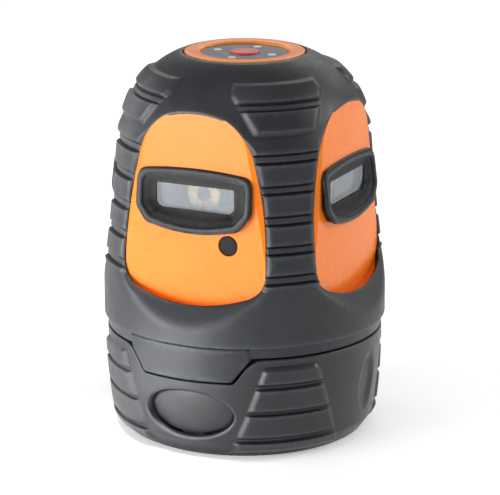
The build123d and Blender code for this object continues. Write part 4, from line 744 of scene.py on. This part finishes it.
# Moulded finishes: dark and light tone, roughness, grain, its depth, mottle, shine and light let through
MOULDED = (
    ("jacket_rubber", (0.0122, 0.0142, 0.0178), (0.0170, 0.0196, 0.0242), 0.45, 0.45, 0.04, 0.3, 0.48),
    ("housing_orange", (0.90, 0.196, 0.007), (0.95, 0.214, 0.010), 0.3, 1.6, 0.004, 0.03, 0.3),
    ("base_plastic", (0.0085, 0.0100, 0.0130), (0.0130, 0.0150, 0.0190), 0.38, 0.45, 0.04, 0.3, 0.52),
    ("bezel_slate", (0.005, 0.006, 0.007), (0.008, 0.009, 0.0105), 0.32, 0.3, 0.006, 0.16, 0.19),
    ("seal_rubber", (0.005, 0.005, 0.005), (0.008, 0.008, 0.0085), 0.5, 0.4, 0.02, 0.16, 0.15),
    ("keypad_silicone", (0.036, 0.045, 0.060), (0.046, 0.056, 0.074), 0.38, 0.25, 0.01, 0.16, 0.5),
    ("power_red", (0.62, 0.045, 0.020), (0.74, 0.060, 0.028), 0.34, 0.25, 0.008, 0.16, 0.5),
    ("indicator_clear", (0.80, 0.66, 0.62), (0.90, 0.80, 0.77), 0.3, 0.3, 0.006, 0.16, 0.5, 0.2),
    ("switch_black", (0.012, 0.012, 0.013), (0.018, 0.018, 0.019), 0.42, 0.4, 0.02, 0.16, 0.5),
    ("button_black", (0.004, 0.005, 0.006), (0.007, 0.008, 0.010), 0.4, 0.4, 0.02, 0.16, 0.12),
    ("collar_gloss", (0.014, 0.016, 0.020), (0.020, 0.0225, 0.028), 0.36, 0.35, 0.012, 0.16, 0.38),
    ("tray_plastic", (0.012, 0.012, 0.013), (0.019, 0.019, 0.020), 0.5, 0.4, 0.02, 0.16, 0.5),
)
for values in MOULDED:
    moulded(*values)
machined("screw_steel", (0.42, 0.42, 0.43), (0.58, 0.58, 0.59), 0.32)
machined("spring_steel", (0.10, 0.105, 0.12), (0.17, 0.175, 0.19), 0.34)
machined("pin_steel", (0.52, 0.52, 0.53), (0.66, 0.66, 0.67), 0.24, (12, 1, 1))
machined("brass", (0.62, 0.42, 0.15), (0.78, 0.56, 0.24), 0.3)
machined("frame_aluminium", (0.55, 0.56, 0.57), (0.70, 0.71, 0.72), 0.36, (10, 1, 1))
machined("magnet_nickel", (0.56, 0.54, 0.50), (0.70, 0.68, 0.63), 0.2)
glazed("window_glass", (0.44, 0.47, 0.51), 0.03, Metallic=0.75, Alpha=0.40)
glazed("lens_glass", (0.92, 0.95, 1.0), 0.02, Transmission_Weight=0.9)
circuit_board("board_green")
cell_sleeve("cell_jacket")


def make_jacket():
    """Rubber jacket: one quarter with its panel opening, repeated round the head."""
    turns = np.radians(np.linspace(-45, 45, JACKET_COLUMNS))
    grid_turn, grid_z = np.meshgrid(turns, head_rows())
    grid = np.stack([grid_turn, grid_z, np.zeros_like(grid_z)], -1)
    piece = new_piece("jacket_skin", *cut_sheet(grid, OPENING, head_radius, head_point, JACKET_RINGS))
    grown(piece, ROUND_TREE, Count=len(SIDES), Join=SECTOR_TOUCH * MM, Material=FINISHES["jacket_rubber"])
    mark_edges(piece)
    smooth(piece, 50)
    thicken(piece, JACKET_T)
    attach(piece, "head")
    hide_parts("rubber_jacket")


def make_coves():
    """Coved foot of each orange panel, from under the rubber's lip in to the panel."""
    edge = np.concatenate([OPENING.start[-COVE_POINTS:], OPENING.start[: ARC_POINTS[0] + COVE_POINTS + 1]])
    across, z = edge.T
    lip = head_point(np.arcsin(across / head_radius(z)), z, COVE_SET)[:, 1]
    panel = COVE_SET - panel_distance(across, z)
    fall = FOOT_LIFT * LEDGE_LIP * (1 - ease((z - PANEL_FOOT - LEDGE_LIP) / COVE_FADE))
    low = z - COVE_SET - fall
    rows = []
    for share in np.linspace(0, 1, COVE_ROWS):
        up = (1 - share) * (z - COVE_HEAD) + share * low - COVE_SAG * share * (1 - share)
        rows.append(np.stack([across, lip + share * (panel - lip), up], -1))
    piece = lofted("panel_coves", rows, round_about=False)
    grown(piece, ROUND_TREE, Count=len(SIDES), Join=SECTOR_TOUCH * MM, Material=FINISHES["housing_orange"])
    smooth(piece, 60)
    thicken(piece, COVE_T)
    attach(piece, "head")


BASE_ARC = np.concatenate([arc_through(BASE_LOW, BASE_MID, BASE_TOP, BASE_ARC_POINTS), [BASE_TOP]])


def base_radius(z):
    """Radius of the base's plain wall at a height."""
    share = (z - BASE_BEVEL[1]) / (BASE_LOW[1] - BASE_BEVEL[1])
    bevel = BASE_BEVEL[0] + share * (BASE_LOW[0] - BASE_BEVEL[0])
    return np.where(z < BASE_LOW[1], bevel, np.interp(z, BASE_ARC[:, 1], BASE_ARC[:, 0]))


def base_edge(turn):
    """Height of the base's upper edge: level, but for the notch that takes the front tab."""
    across = np.where(np.cos(turn) > 0, np.abs(BASE_TOP[0] * np.sin(turn)), BASE_TOP[0])
    low = TAB_LOW - NOTCH_GAP
    slope = (BASE_TOP[1] - low) / (TAB_HALF[0] - TAB_HALF[1])
    rise = low + (across - TAB_HALF[1] - NOTCH_GAP) * slope
    rise = -soft_min(-rise, np.full_like(rise, -low), NOTCH_FOOT_BLEND)
    return soft_min(rise, np.full_like(rise, BASE_TOP[1]), NOTCH_HEAD_BLEND)


def oval(grow):
    """Outline of the release button, made larger by a gap."""
    angles = np.linspace(0, 2 * pi, OVAL_POINTS, endpoint=False)
    wide, tall = OVAL_HALF[0] + grow, OVAL_HALF[1] + grow
    return Outline(np.stack([wide * np.cos(angles), OVAL_Z + tall * np.sin(angles)], 1))


BUTTON_HOLE = oval(OVAL_SLIT)


def base_point(turn, z, inset):
    """Place on the base at an angle from the front, with treads on the corners and a scoop on each side."""
    radius = base_radius(z)
    quarter = np.mod(turn + pi / 4, pi / 2) - pi / 4
    corner_across = radius * np.sin(np.abs(quarter) - pi / 4)
    in_tread = -TREAD.distance(np.stack([corner_across, z], -1))
    tread = TREAD_H * ramp((in_tread + PLATE_LEAD) / TREAD_BEVEL)
    for low, high in TREAD_GROOVES:
        tread = np.minimum(tread, TREAD_H - groove_fall(z, low, high, TREAD_H))
    across = radius * np.cos(turn)
    middle = (across / SCOOP_HALF[0]) ** 2 + ((z - SCOOP_Z) / SCOOP_HALF[1]) ** 2
    scoop = SCOOP_DEPTH * ease(SCOOP_SOFT * (1 - middle))
    to_hole = BUTTON_HOLE.distance(np.stack([radius * np.sin(turn), z], -1))
    to_hole = np.where(np.cos(turn) > 0, np.maximum(to_hole, 0), HOLE_FAR)
    lip = HOLE_LIP * (1 - ease(to_hole / HOLE_ROUND))
    out = radius + tread - scoop - lip - inset
    return np.stack([out * np.sin(turn), -out * np.cos(turn), z], -1)


def base_rows():
    """Heights of the base's rows, close together at the treads' grooves."""
    spans = list(BASE_FOOT_ROWS)
    for low, high in reversed(TREAD_GROOVES):
        spans += [(low - TREAD_OUT, TREAD_STEP), (high + TREAD_OUT, WALL_STEP)]
    return graded(BASE_BEVEL[1], spans + list(BASE_HEAD_ROWS))


def make_base():
    """Base cup: embossed wall with its notch and button hole, over the inside of the cup."""
    turns = np.linspace(-pi, pi, BASE_COLUMNS, endpoint=False)
    edge = base_edge(turns)
    warp_from = OVAL_Z + OVAL_HALF[1] + NOTCH_OVER_OVAL
    rows, insets = [np.full_like(edge, BASE_BEVEL[1])], [BASE_BEVEL[0] - FOOT_SEAT_R]
    for z in base_rows():
        share = max(z - warp_from, 0) / (BASE_TOP[1] - warp_from)
        rows.append(warp_from + share * (edge - warp_from) if share > 0 else np.full_like(edge, z))
        insets.append(0.0)
    for drop, inset in BASE_RIM:
        rows.append(edge - drop)
        insets.append(inset)
    grid = np.stack([np.stack([turns, z, np.full_like(z, i)], -1) for z, i in zip(rows, insets)])
    sheet = cut_sheet(grid, BUTTON_HOLE, base_radius, base_point, HOLE_RINGS, BASE_WALL, wrap=True)
    piece = new_piece("base_skin", *sheet)
    join_inner(piece, "base_plastic", "base_cup", outside_of_base)
    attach(piece, "base")
    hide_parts("base_cup")


def join_inner(piece, slot, node, is_outer):
    """Paint a skin and join the inner faces of a CAD piece to it, without those that the skin replaces."""
    piece.data.materials.append(FINISHES[slot])
    mark_edges(piece)
    bm = bmesh.new()
    bm.from_mesh(NODES[node].data)
    bmesh.ops.remove_doubles(bm, verts=bm.verts, dist=TOUCH * MM)
    outer = [face for face in bm.faces if is_outer(*(face.calc_center_median() / MM))]
    bmesh.ops.delete(bm, geom=outer, context="FACES")
    for face in bm.faces:
        face.material_index = 0
    bm.from_mesh(piece.data)
    bm.to_mesh(piece.data)
    bm.free()
    smooth(piece, 50)


def outside_of_base(x, y, z):
    """Whether a face of the base cup belongs to its wall's outside, rim or lower edge."""
    wall_margin, edge_margin = 0.15, 0.05
    away = sqrt(x * x + y * y)
    near_wall = away > base_radius(np.array(z)) - BASE_WALL + wall_margin
    under_edge = z < BASE_BEVEL[1] + edge_margin and away > FOOT_SEAT_R
    return near_wall or under_edge or z > BASE_TOP[1] - edge_margin


def front_of_button(x, y, z):
    """Whether a face of the release button belongs to the front or the edge of its plate."""
    oval_margin, back_margin = 0.02, 0.06
    away = sqrt(x * x + y * y)
    in_oval = (x / OVAL_HALF[0]) ** 2 + ((z - OVAL_Z) / OVAL_HALF[1]) ** 2 < 1 + oval_margin
    return in_oval and away > base_radius(np.array(z)) - BUTTON_SINK - BUTTON_T + back_margin


def bent(flat, away):
    """Flat outline bent round the axis, in front of it at a distance."""
    return np.stack([flat[:, 0], -np.sqrt(away**2 - flat[:, 0] ** 2), flat[:, 1]], -1)


def make_button():
    """Release button: a pillowed oval that falls away to the slit, over the button's lugs."""
    angles = np.linspace(0, 2 * pi, BUTTON_POINTS, endpoint=False)
    edge_from, edge_fall = BUTTON_EDGE
    rings = []
    for share in BUTTON_SHARES:
        across = OVAL_HALF[0] * share * np.cos(angles)
        z = OVAL_Z + OVAL_HALF[1] * share * np.sin(angles)
        flat = np.stack([across, z], -1)
        sunk = BUTTON_SINK + BUTTON_FALL * share**4 + edge_fall * ease((share - edge_from) / (1 - edge_from))
        rings.append(bent(flat, base_radius(z) - sunk))
    rings.append(bent(flat, base_radius(z) - BUTTON_SINK - BUTTON_T))
    piece = lofted("release_button_skin", rings)
    face_outwards(piece, TOUCH)
    join_inner(piece, "base_plastic", "release_button", front_of_button)
    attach(piece, "release_catch")
    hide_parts("release_button")


def loft_faces(rings, count, closed=False, round_about=True):
    """Faces between rings, or open rows, of equally many points."""
    faces = []
    for ring in range(rings if closed else rings - 1):
        here, there = ring * count, (ring + 1) % rings * count
        for i in range(count if round_about else count - 1):
            j = (i + 1) % count
            faces.append([here + i, here + j, there + j, there + i])
    return faces


def lofted(name, rings, **kind):
    """Piece that runs through rings, or open rows, of equally many points."""
    return new_piece(name, np.concatenate(rings), loft_faces(len(rings), len(rings[0]), **kind))


def rounded(corners, radius, arch, steps=7, runs=10):
    """Closed outline through corners, each rounded; arch gives the sides that are bowed, and how high."""
    corners = np.asarray(corners, float)
    count = len(corners)
    trims = []
    for i in range(count):
        before = corners[i - 1] - corners[i]
        after = corners[(i + 1) % count] - corners[i]
        before /= np.sqrt((before**2).sum())
        after /= np.sqrt((after**2).sum())
        half = np.arccos(np.clip((before * after).sum(), -1, 1)) / 2
        reach = radius / np.tan(half)
        trims.append((corners[i] + before * reach, corners[i] + after * reach))
    points = []
    for i in range(count):
        start, end = trims[i]
        share = np.linspace(0, 1, steps)[:, None]
        points.append((1 - share) ** 2 * start + 2 * share * (1 - share) * corners[i] + share**2 * end)
        follow = trims[(i + 1) % count][0]
        share = np.linspace(0, 1, runs + 2)[1:-1, None]
        side = end + share * (follow - end)
        side[:, 1] += arch.get(i, 0.0) * (1 - (2 * share[:, 0] - 1) ** 2)
        points.append(side)
    return np.concatenate(points)


def cut_corners(half, low_half, top, side_low, low):
    """Corners of an upright opening whose lower corners are cut."""
    return [(half, top), (-half, top), (-half, side_low), (-low_half, low), (low_half, low), (half, side_low)]


def rim_outline(inset):
    """Outline of a bezel's rim, set in by a distance: arched top, cut lower corners and a bowed foot."""
    low_half, side_low = RIM_LOW_HALF - RIM_LOW_SHARE * inset, RIM_SIDE_LOW + RIM_SIDE_SHARE * inset
    corners = cut_corners(RIM_HALF - inset, low_half, RIM_TOP_END - inset, side_low, RIM_LOW_END + inset)
    arch = {0: RIM_TOP - RIM_TOP_END, 3: RIM_BOTTOM - RIM_LOW_END}
    return rounded(corners, RIM_CORNER - RIM_CORNER_SHARE * inset, arch)


def box_outline(half, span, corner):
    """Outline of an upright opening with the same points as a rim's outline."""
    low, high = span
    return rounded(cut_corners(half, half - BOX_CUT, high, low + BOX_CUT, low), corner, {})


def rim_distance(z):
    """Distance of a bezel's leaning face from the axis at a height."""
    share = (z - RIM_BOTTOM) / (RIM_TOP - RIM_BOTTOM)
    return RIM_DIST[0] + share * (RIM_DIST[1] - RIM_DIST[0])


def panel_distance(across, z):
    """Distance of a bulged panel from the axis."""
    return PANEL_DIST - (z - PANEL_FROM) * tan(radians(PANEL_LEAN)) - across**2 / (2 * PANEL_BULGE_R)


def make_bezel(side, angle):
    """Window bezel, a flank that stands off the panel with a rounded rim, and the liner down to the glass."""

    def ring(outline, away):
        return np.stack([outline[:, 0], np.broadcast_to(away, len(outline)), outline[:, 1]], -1)

    neck = box_outline(NECK_HALF, NECK_SPAN, NECK_CORNER)
    mouth = box_outline(OPENING_HALF, OPENING_SPAN, MOUTH_CORNER)
    pocket = box_outline(GLASS_HALF, GLASS_SPAN, POCKET_CORNER)
    foot = rim_outline(RIM_FOOT[0])
    rings = [ring(neck, NECK_BACK), ring(neck, panel_distance(*neck.T) - NECK_SINK)]
    rings.append(ring(foot, panel_distance(*foot.T) - RIM_FOOT[1]))
    for inset, drop in RIM_FLANK + RIM_LIP:
        outline = rim_outline(inset)
        rings.append(ring(outline, rim_distance(outline[:, 1]) - drop))
    lip, sill = rings[-1], ring(mouth, GLASS_FRONT + LINER_LAP)
    rings += [ring(outline, GLASS_FRONT), ring(pocket, GLASS_FRONT), ring(pocket, NECK_BACK)]
    piece = make_framed(f"bezel_skin_{side}", rings, angle, "bezel_slate", True)
    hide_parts(f"window_bezel_{side}")

    liner = [lip - np.array([0, LINER_LAP, 0]), lip]
    for share in LINER_SHARES:
        hollow = lip + share * (sill - lip)
        hollow[:, 1] -= LINER_HOLLOW * share * (1 - share)
        liner.append(hollow)
    liner.append(ring(mouth, GLASS_FRONT + LINER_GAP))
    make_framed(f"window_liner_{side}", liner, angle, "seal_rubber", False)


def make_framed(name, rings, angle, slot, closed):
    """Piece lofted through rings of window outlines, turned to its side of the head."""
    turn = radians(angle)
    across, away, up = np.stack(rings).transpose(2, 0, 1)
    x, y = across * cos(turn) + away * sin(turn), across * sin(turn) - away * cos(turn)
    piece = lofted(name, np.stack([x, y, up], -1), closed=closed)
    if closed:
        face_outwards(piece)
    piece.data.materials.append(FINISHES[slot])
    mark_edges(piece)
    smooth(piece, 45)
    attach(piece, "head")
    return piece


def turned(name, node, section, lifts=(0.0, 0.0), count=120):
    """Turned ring: a narrow sector of a section, repeated round the axis; lifts raise its lowest points."""
    radius, height = np.asarray(section, float).T
    lowest = height < height.min() + RING_TOUCH
    rows = []
    for share, lift in zip(np.linspace(-0.5, 0.5, len(lifts)), lifts):
        turn = 2 * pi * share / count
        z = height + np.where(lowest, lift, 0.0)
        rows.append(np.stack([radius * sin(turn), -radius * cos(turn), z], -1))
    piece = lofted(name, rows)
    slot = SLOT_OF[node]
    grown(piece, ROUND_TREE, Count=count, Join=RING_TOUCH * MM, Material=FINISHES[slot])
    face_outwards(piece)
    mark_edges(piece)
    smooth(piece, 35)
    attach(piece, BODY_OF[node])
    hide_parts(node)


def coil_tree():
    """Node tree that sweeps a round wire along a coil."""
    inputs = {name: "NodeSocketFloat" for name in ("Turns", "Radius", "Height", "Wire", "Start")}
    tree, given, end = node_tree("coil", {**inputs, "Material": "NodeSocketMaterial"})
    path = {"Resolution": TURN_POINTS, "Rotations": given["Turns"], "Height": given["Height"]}
    path |= {"Start Radius": given["Radius"], "End Radius": given["Radius"]}
    coil = add_node(tree, "GeometryNodeCurveSpiral", path)
    section = {"Resolution": WIRE_POINTS, "Radius": given["Wire"]}
    wire = add_node(tree, "GeometryNodeCurvePrimitiveCircle", section)
    sources = {"Curve": coil, "Profile Curve": wire, "Fill Caps": True}
    sweep = add_node(tree, "GeometryNodeCurveToMesh", sources)
    lift = add_node(tree, "ShaderNodeCombineXYZ", {"Z": given["Start"]})
    moved = add_node(tree, "GeometryNodeTransform", {"Geometry": sweep, "Translation": lift})
    real = add_node(tree, "GeometryNodeRealizeInstances", {0: moved})
    painted = add_node(tree, "GeometryNodeSetMaterial", {"Geometry": real, "Material": given["Material"]})
    tree.links.new(painted, end)
    return tree


def make_thread():
    """Thread of the tripod insert, as a ridge that winds up its bore."""
    slot = SLOT_OF["tripod_insert"]
    piece = new_piece("tripod_thread", np.zeros((0, 3)), [])
    grown(piece, coil_tree(), Turns=THREAD_TURNS, **THREAD, Material=FINISHES[slot])
    smooth(piece, 60)
    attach(piece, BODY_OF["tripod_insert"])


def front_of_tab(x, y, z):
    """Whether a face of the front tab belongs to its front or its edge, not to the pocket behind it."""
    (low, high), back_margin = TAB_POCKET_SPAN, 0.05
    in_pocket = abs(x) < TAB_POCKET_HALF and low < z < high and y > TAB_POCKET_Y
    return sqrt(x * x + y * y) > TAB_R[0] + back_margin and not in_pocket


def make_tab():
    """Front tab: a softly bevelled plate bent round the collar, over the pocket behind it."""
    (top, low), head, shoulder = TAB_HALF, SKIRT_BOTTOM, BASE_TOP[1]
    middle = np.array([0.0, (head + TAB_LOW) / 2])
    half_size = np.array([top, (head - TAB_LOW) / 2])
    edge = rounded(cut_corners(top, low, head, shoulder, TAB_LOW), TAB_CORNER, {})

    def ring(share, away):
        return bent(middle + (edge - middle) * share, away)

    rings = [ring(1.0, TAB_R[0])]
    rings += [ring(1 - inset / half_size, TAB_R[1] - drop) for inset, drop in TAB_ROUND]
    rings += [ring(share, TAB_R[1]) for share in TAB_FACE]
    piece = lofted("tab_skin", rings)
    face_outwards(piece, TOUCH)
    join_inner(piece, "collar_gloss", "front_tab", front_of_tab)
    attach(piece, "head")
    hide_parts("front_tab")


make_jacket()
make_coves()
make_base()
make_button()
make_tab()
turned("keypad_ring_skin", "keypad_ring", KEYPAD_RING)
turned("foot_ring_skin", "foot_ring", FOOT_RING, FOOT_LIFTS, FOOT_SECTORS)
make_thread()
for side, angle in SIDES.items():
    make_bezel(side, angle)
for name, node in NODES.items():
    node.data.materials.clear()
    node.data.materials.append(FINISHES[SLOT_OF[name]])

# Floor, lights and camera, in metres

FLOOR_HALF = 4.0
FLOOR_GLOW = 0.34
WORLD_LIGHT = 0.32
CAMERA_TURN = radians(25.5)
CAMERA_AWAY = 1.198
CAMERA_HEIGHT = 0.410
CAMERA_DIP = radians(15.43)
CAMERA_YAW = radians(-0.11)
CAMERA_LENS = 202.9
MIDDLE = (0, 0, 0.09)

# Each soft box with its place, what it faces, its size, power and spread in degrees
LIGHTS = {
    "key": ((-0.75, -1.0, 0.24), MIDDLE, (0.95, 0.46), 14.5, 180),
    "side": ((-1.2, 0.25, 0.35), MIDDLE, (0.6, 0.7), 2.8, 180),
    "fill": ((1.0, 0.6, 0.6), MIDDLE, (0.6, 0.6), 6, 180),
    "behind": ((-0.2, 1.3, 0.9), MIDDLE, (1.6, 0.7), 5.5, 180),
    "low": ((-0.3, -1.0, 0.06), (0, 0, 0.02), (0.7, 0.1), 2.5, 180),
    "glow": ((-0.09, -0.17, 0.35), (-0.09, -0.17, 0), (0.12, 0.12), 0.6, 40),
    "above": ((0.1, -0.45, 1.3), MIDDLE, (0.9, 0.6), 1.5, 180),
}


def make_floor():
    """Plain white floor."""
    mesh = bpy.data.meshes.new("floor")
    bm = bmesh.new()
    bmesh.ops.create_grid(bm, x_segments=24, y_segments=24, size=FLOOR_HALF)
    bm.to_mesh(mesh)
    bm.free()
    floor = bpy.data.objects.new("floor", mesh)
    bpy.context.scene.collection.objects.link(floor)
    glow = {"Emission_Strength": FLOOR_GLOW, "Emission_Color": (1, 1, 1, 1)}
    finish = Finish("floor_white", Roughness=0.7, Specular_IOR_Level=0.2, **glow)
    tones = (0.3, (0.95, 0.95, 0.95)), (0.7, (0.97, 0.97, 0.97))
    finish.feed("Base Color", finish.colours(finish.noise(300, 2), *tones))
    mesh.materials.append(finish.material)


def make_lights():
    """Even white surroundings and the soft boxes: a large one at the left, weaker ones round about."""
    scene = bpy.context.scene
    scene.world = bpy.data.worlds.new("studio")
    scene.world.use_nodes = True
    sky = scene.world.node_tree.nodes["Background"].inputs
    sky["Color"].default_value = (1, 1, 1, 1)
    sky["Strength"].default_value = WORLD_LIGHT
    for name, (place, target, size, power, spread) in LIGHTS.items():
        data = bpy.data.lights.new(name, "AREA")
        data.shape = "RECTANGLE"
        data.size, data.size_y = size
        data.energy = power
        data.spread = radians(spread)
        light = bpy.data.objects.new(name, data)
        light.location = place
        light.rotation_euler = (Vector(target) - Vector(place)).to_track_quat("-Z", "Y").to_euler()
        scene.collection.objects.link(light)
    scene.view_settings.view_transform = "Standard"


def make_camera():
    """Long lens at the front, moved round towards the right panel and looking down a little."""
    data = bpy.data.cameras.new("camera")
    data.lens = CAMERA_LENS
    data.sensor_width = 36
    camera = bpy.data.objects.new("camera", data)
    across, back = CAMERA_AWAY * sin(CAMERA_TURN), CAMERA_AWAY * cos(CAMERA_TURN)
    camera.location = (across, -back, CAMERA_HEIGHT)
    camera.rotation_euler = (pi / 2 - CAMERA_DIP, 0, CAMERA_TURN + CAMERA_YAW)
    bpy.context.scene.collection.objects.link(camera)
    bpy.context.scene.camera = camera


make_floor()
make_lights()
make_camera()
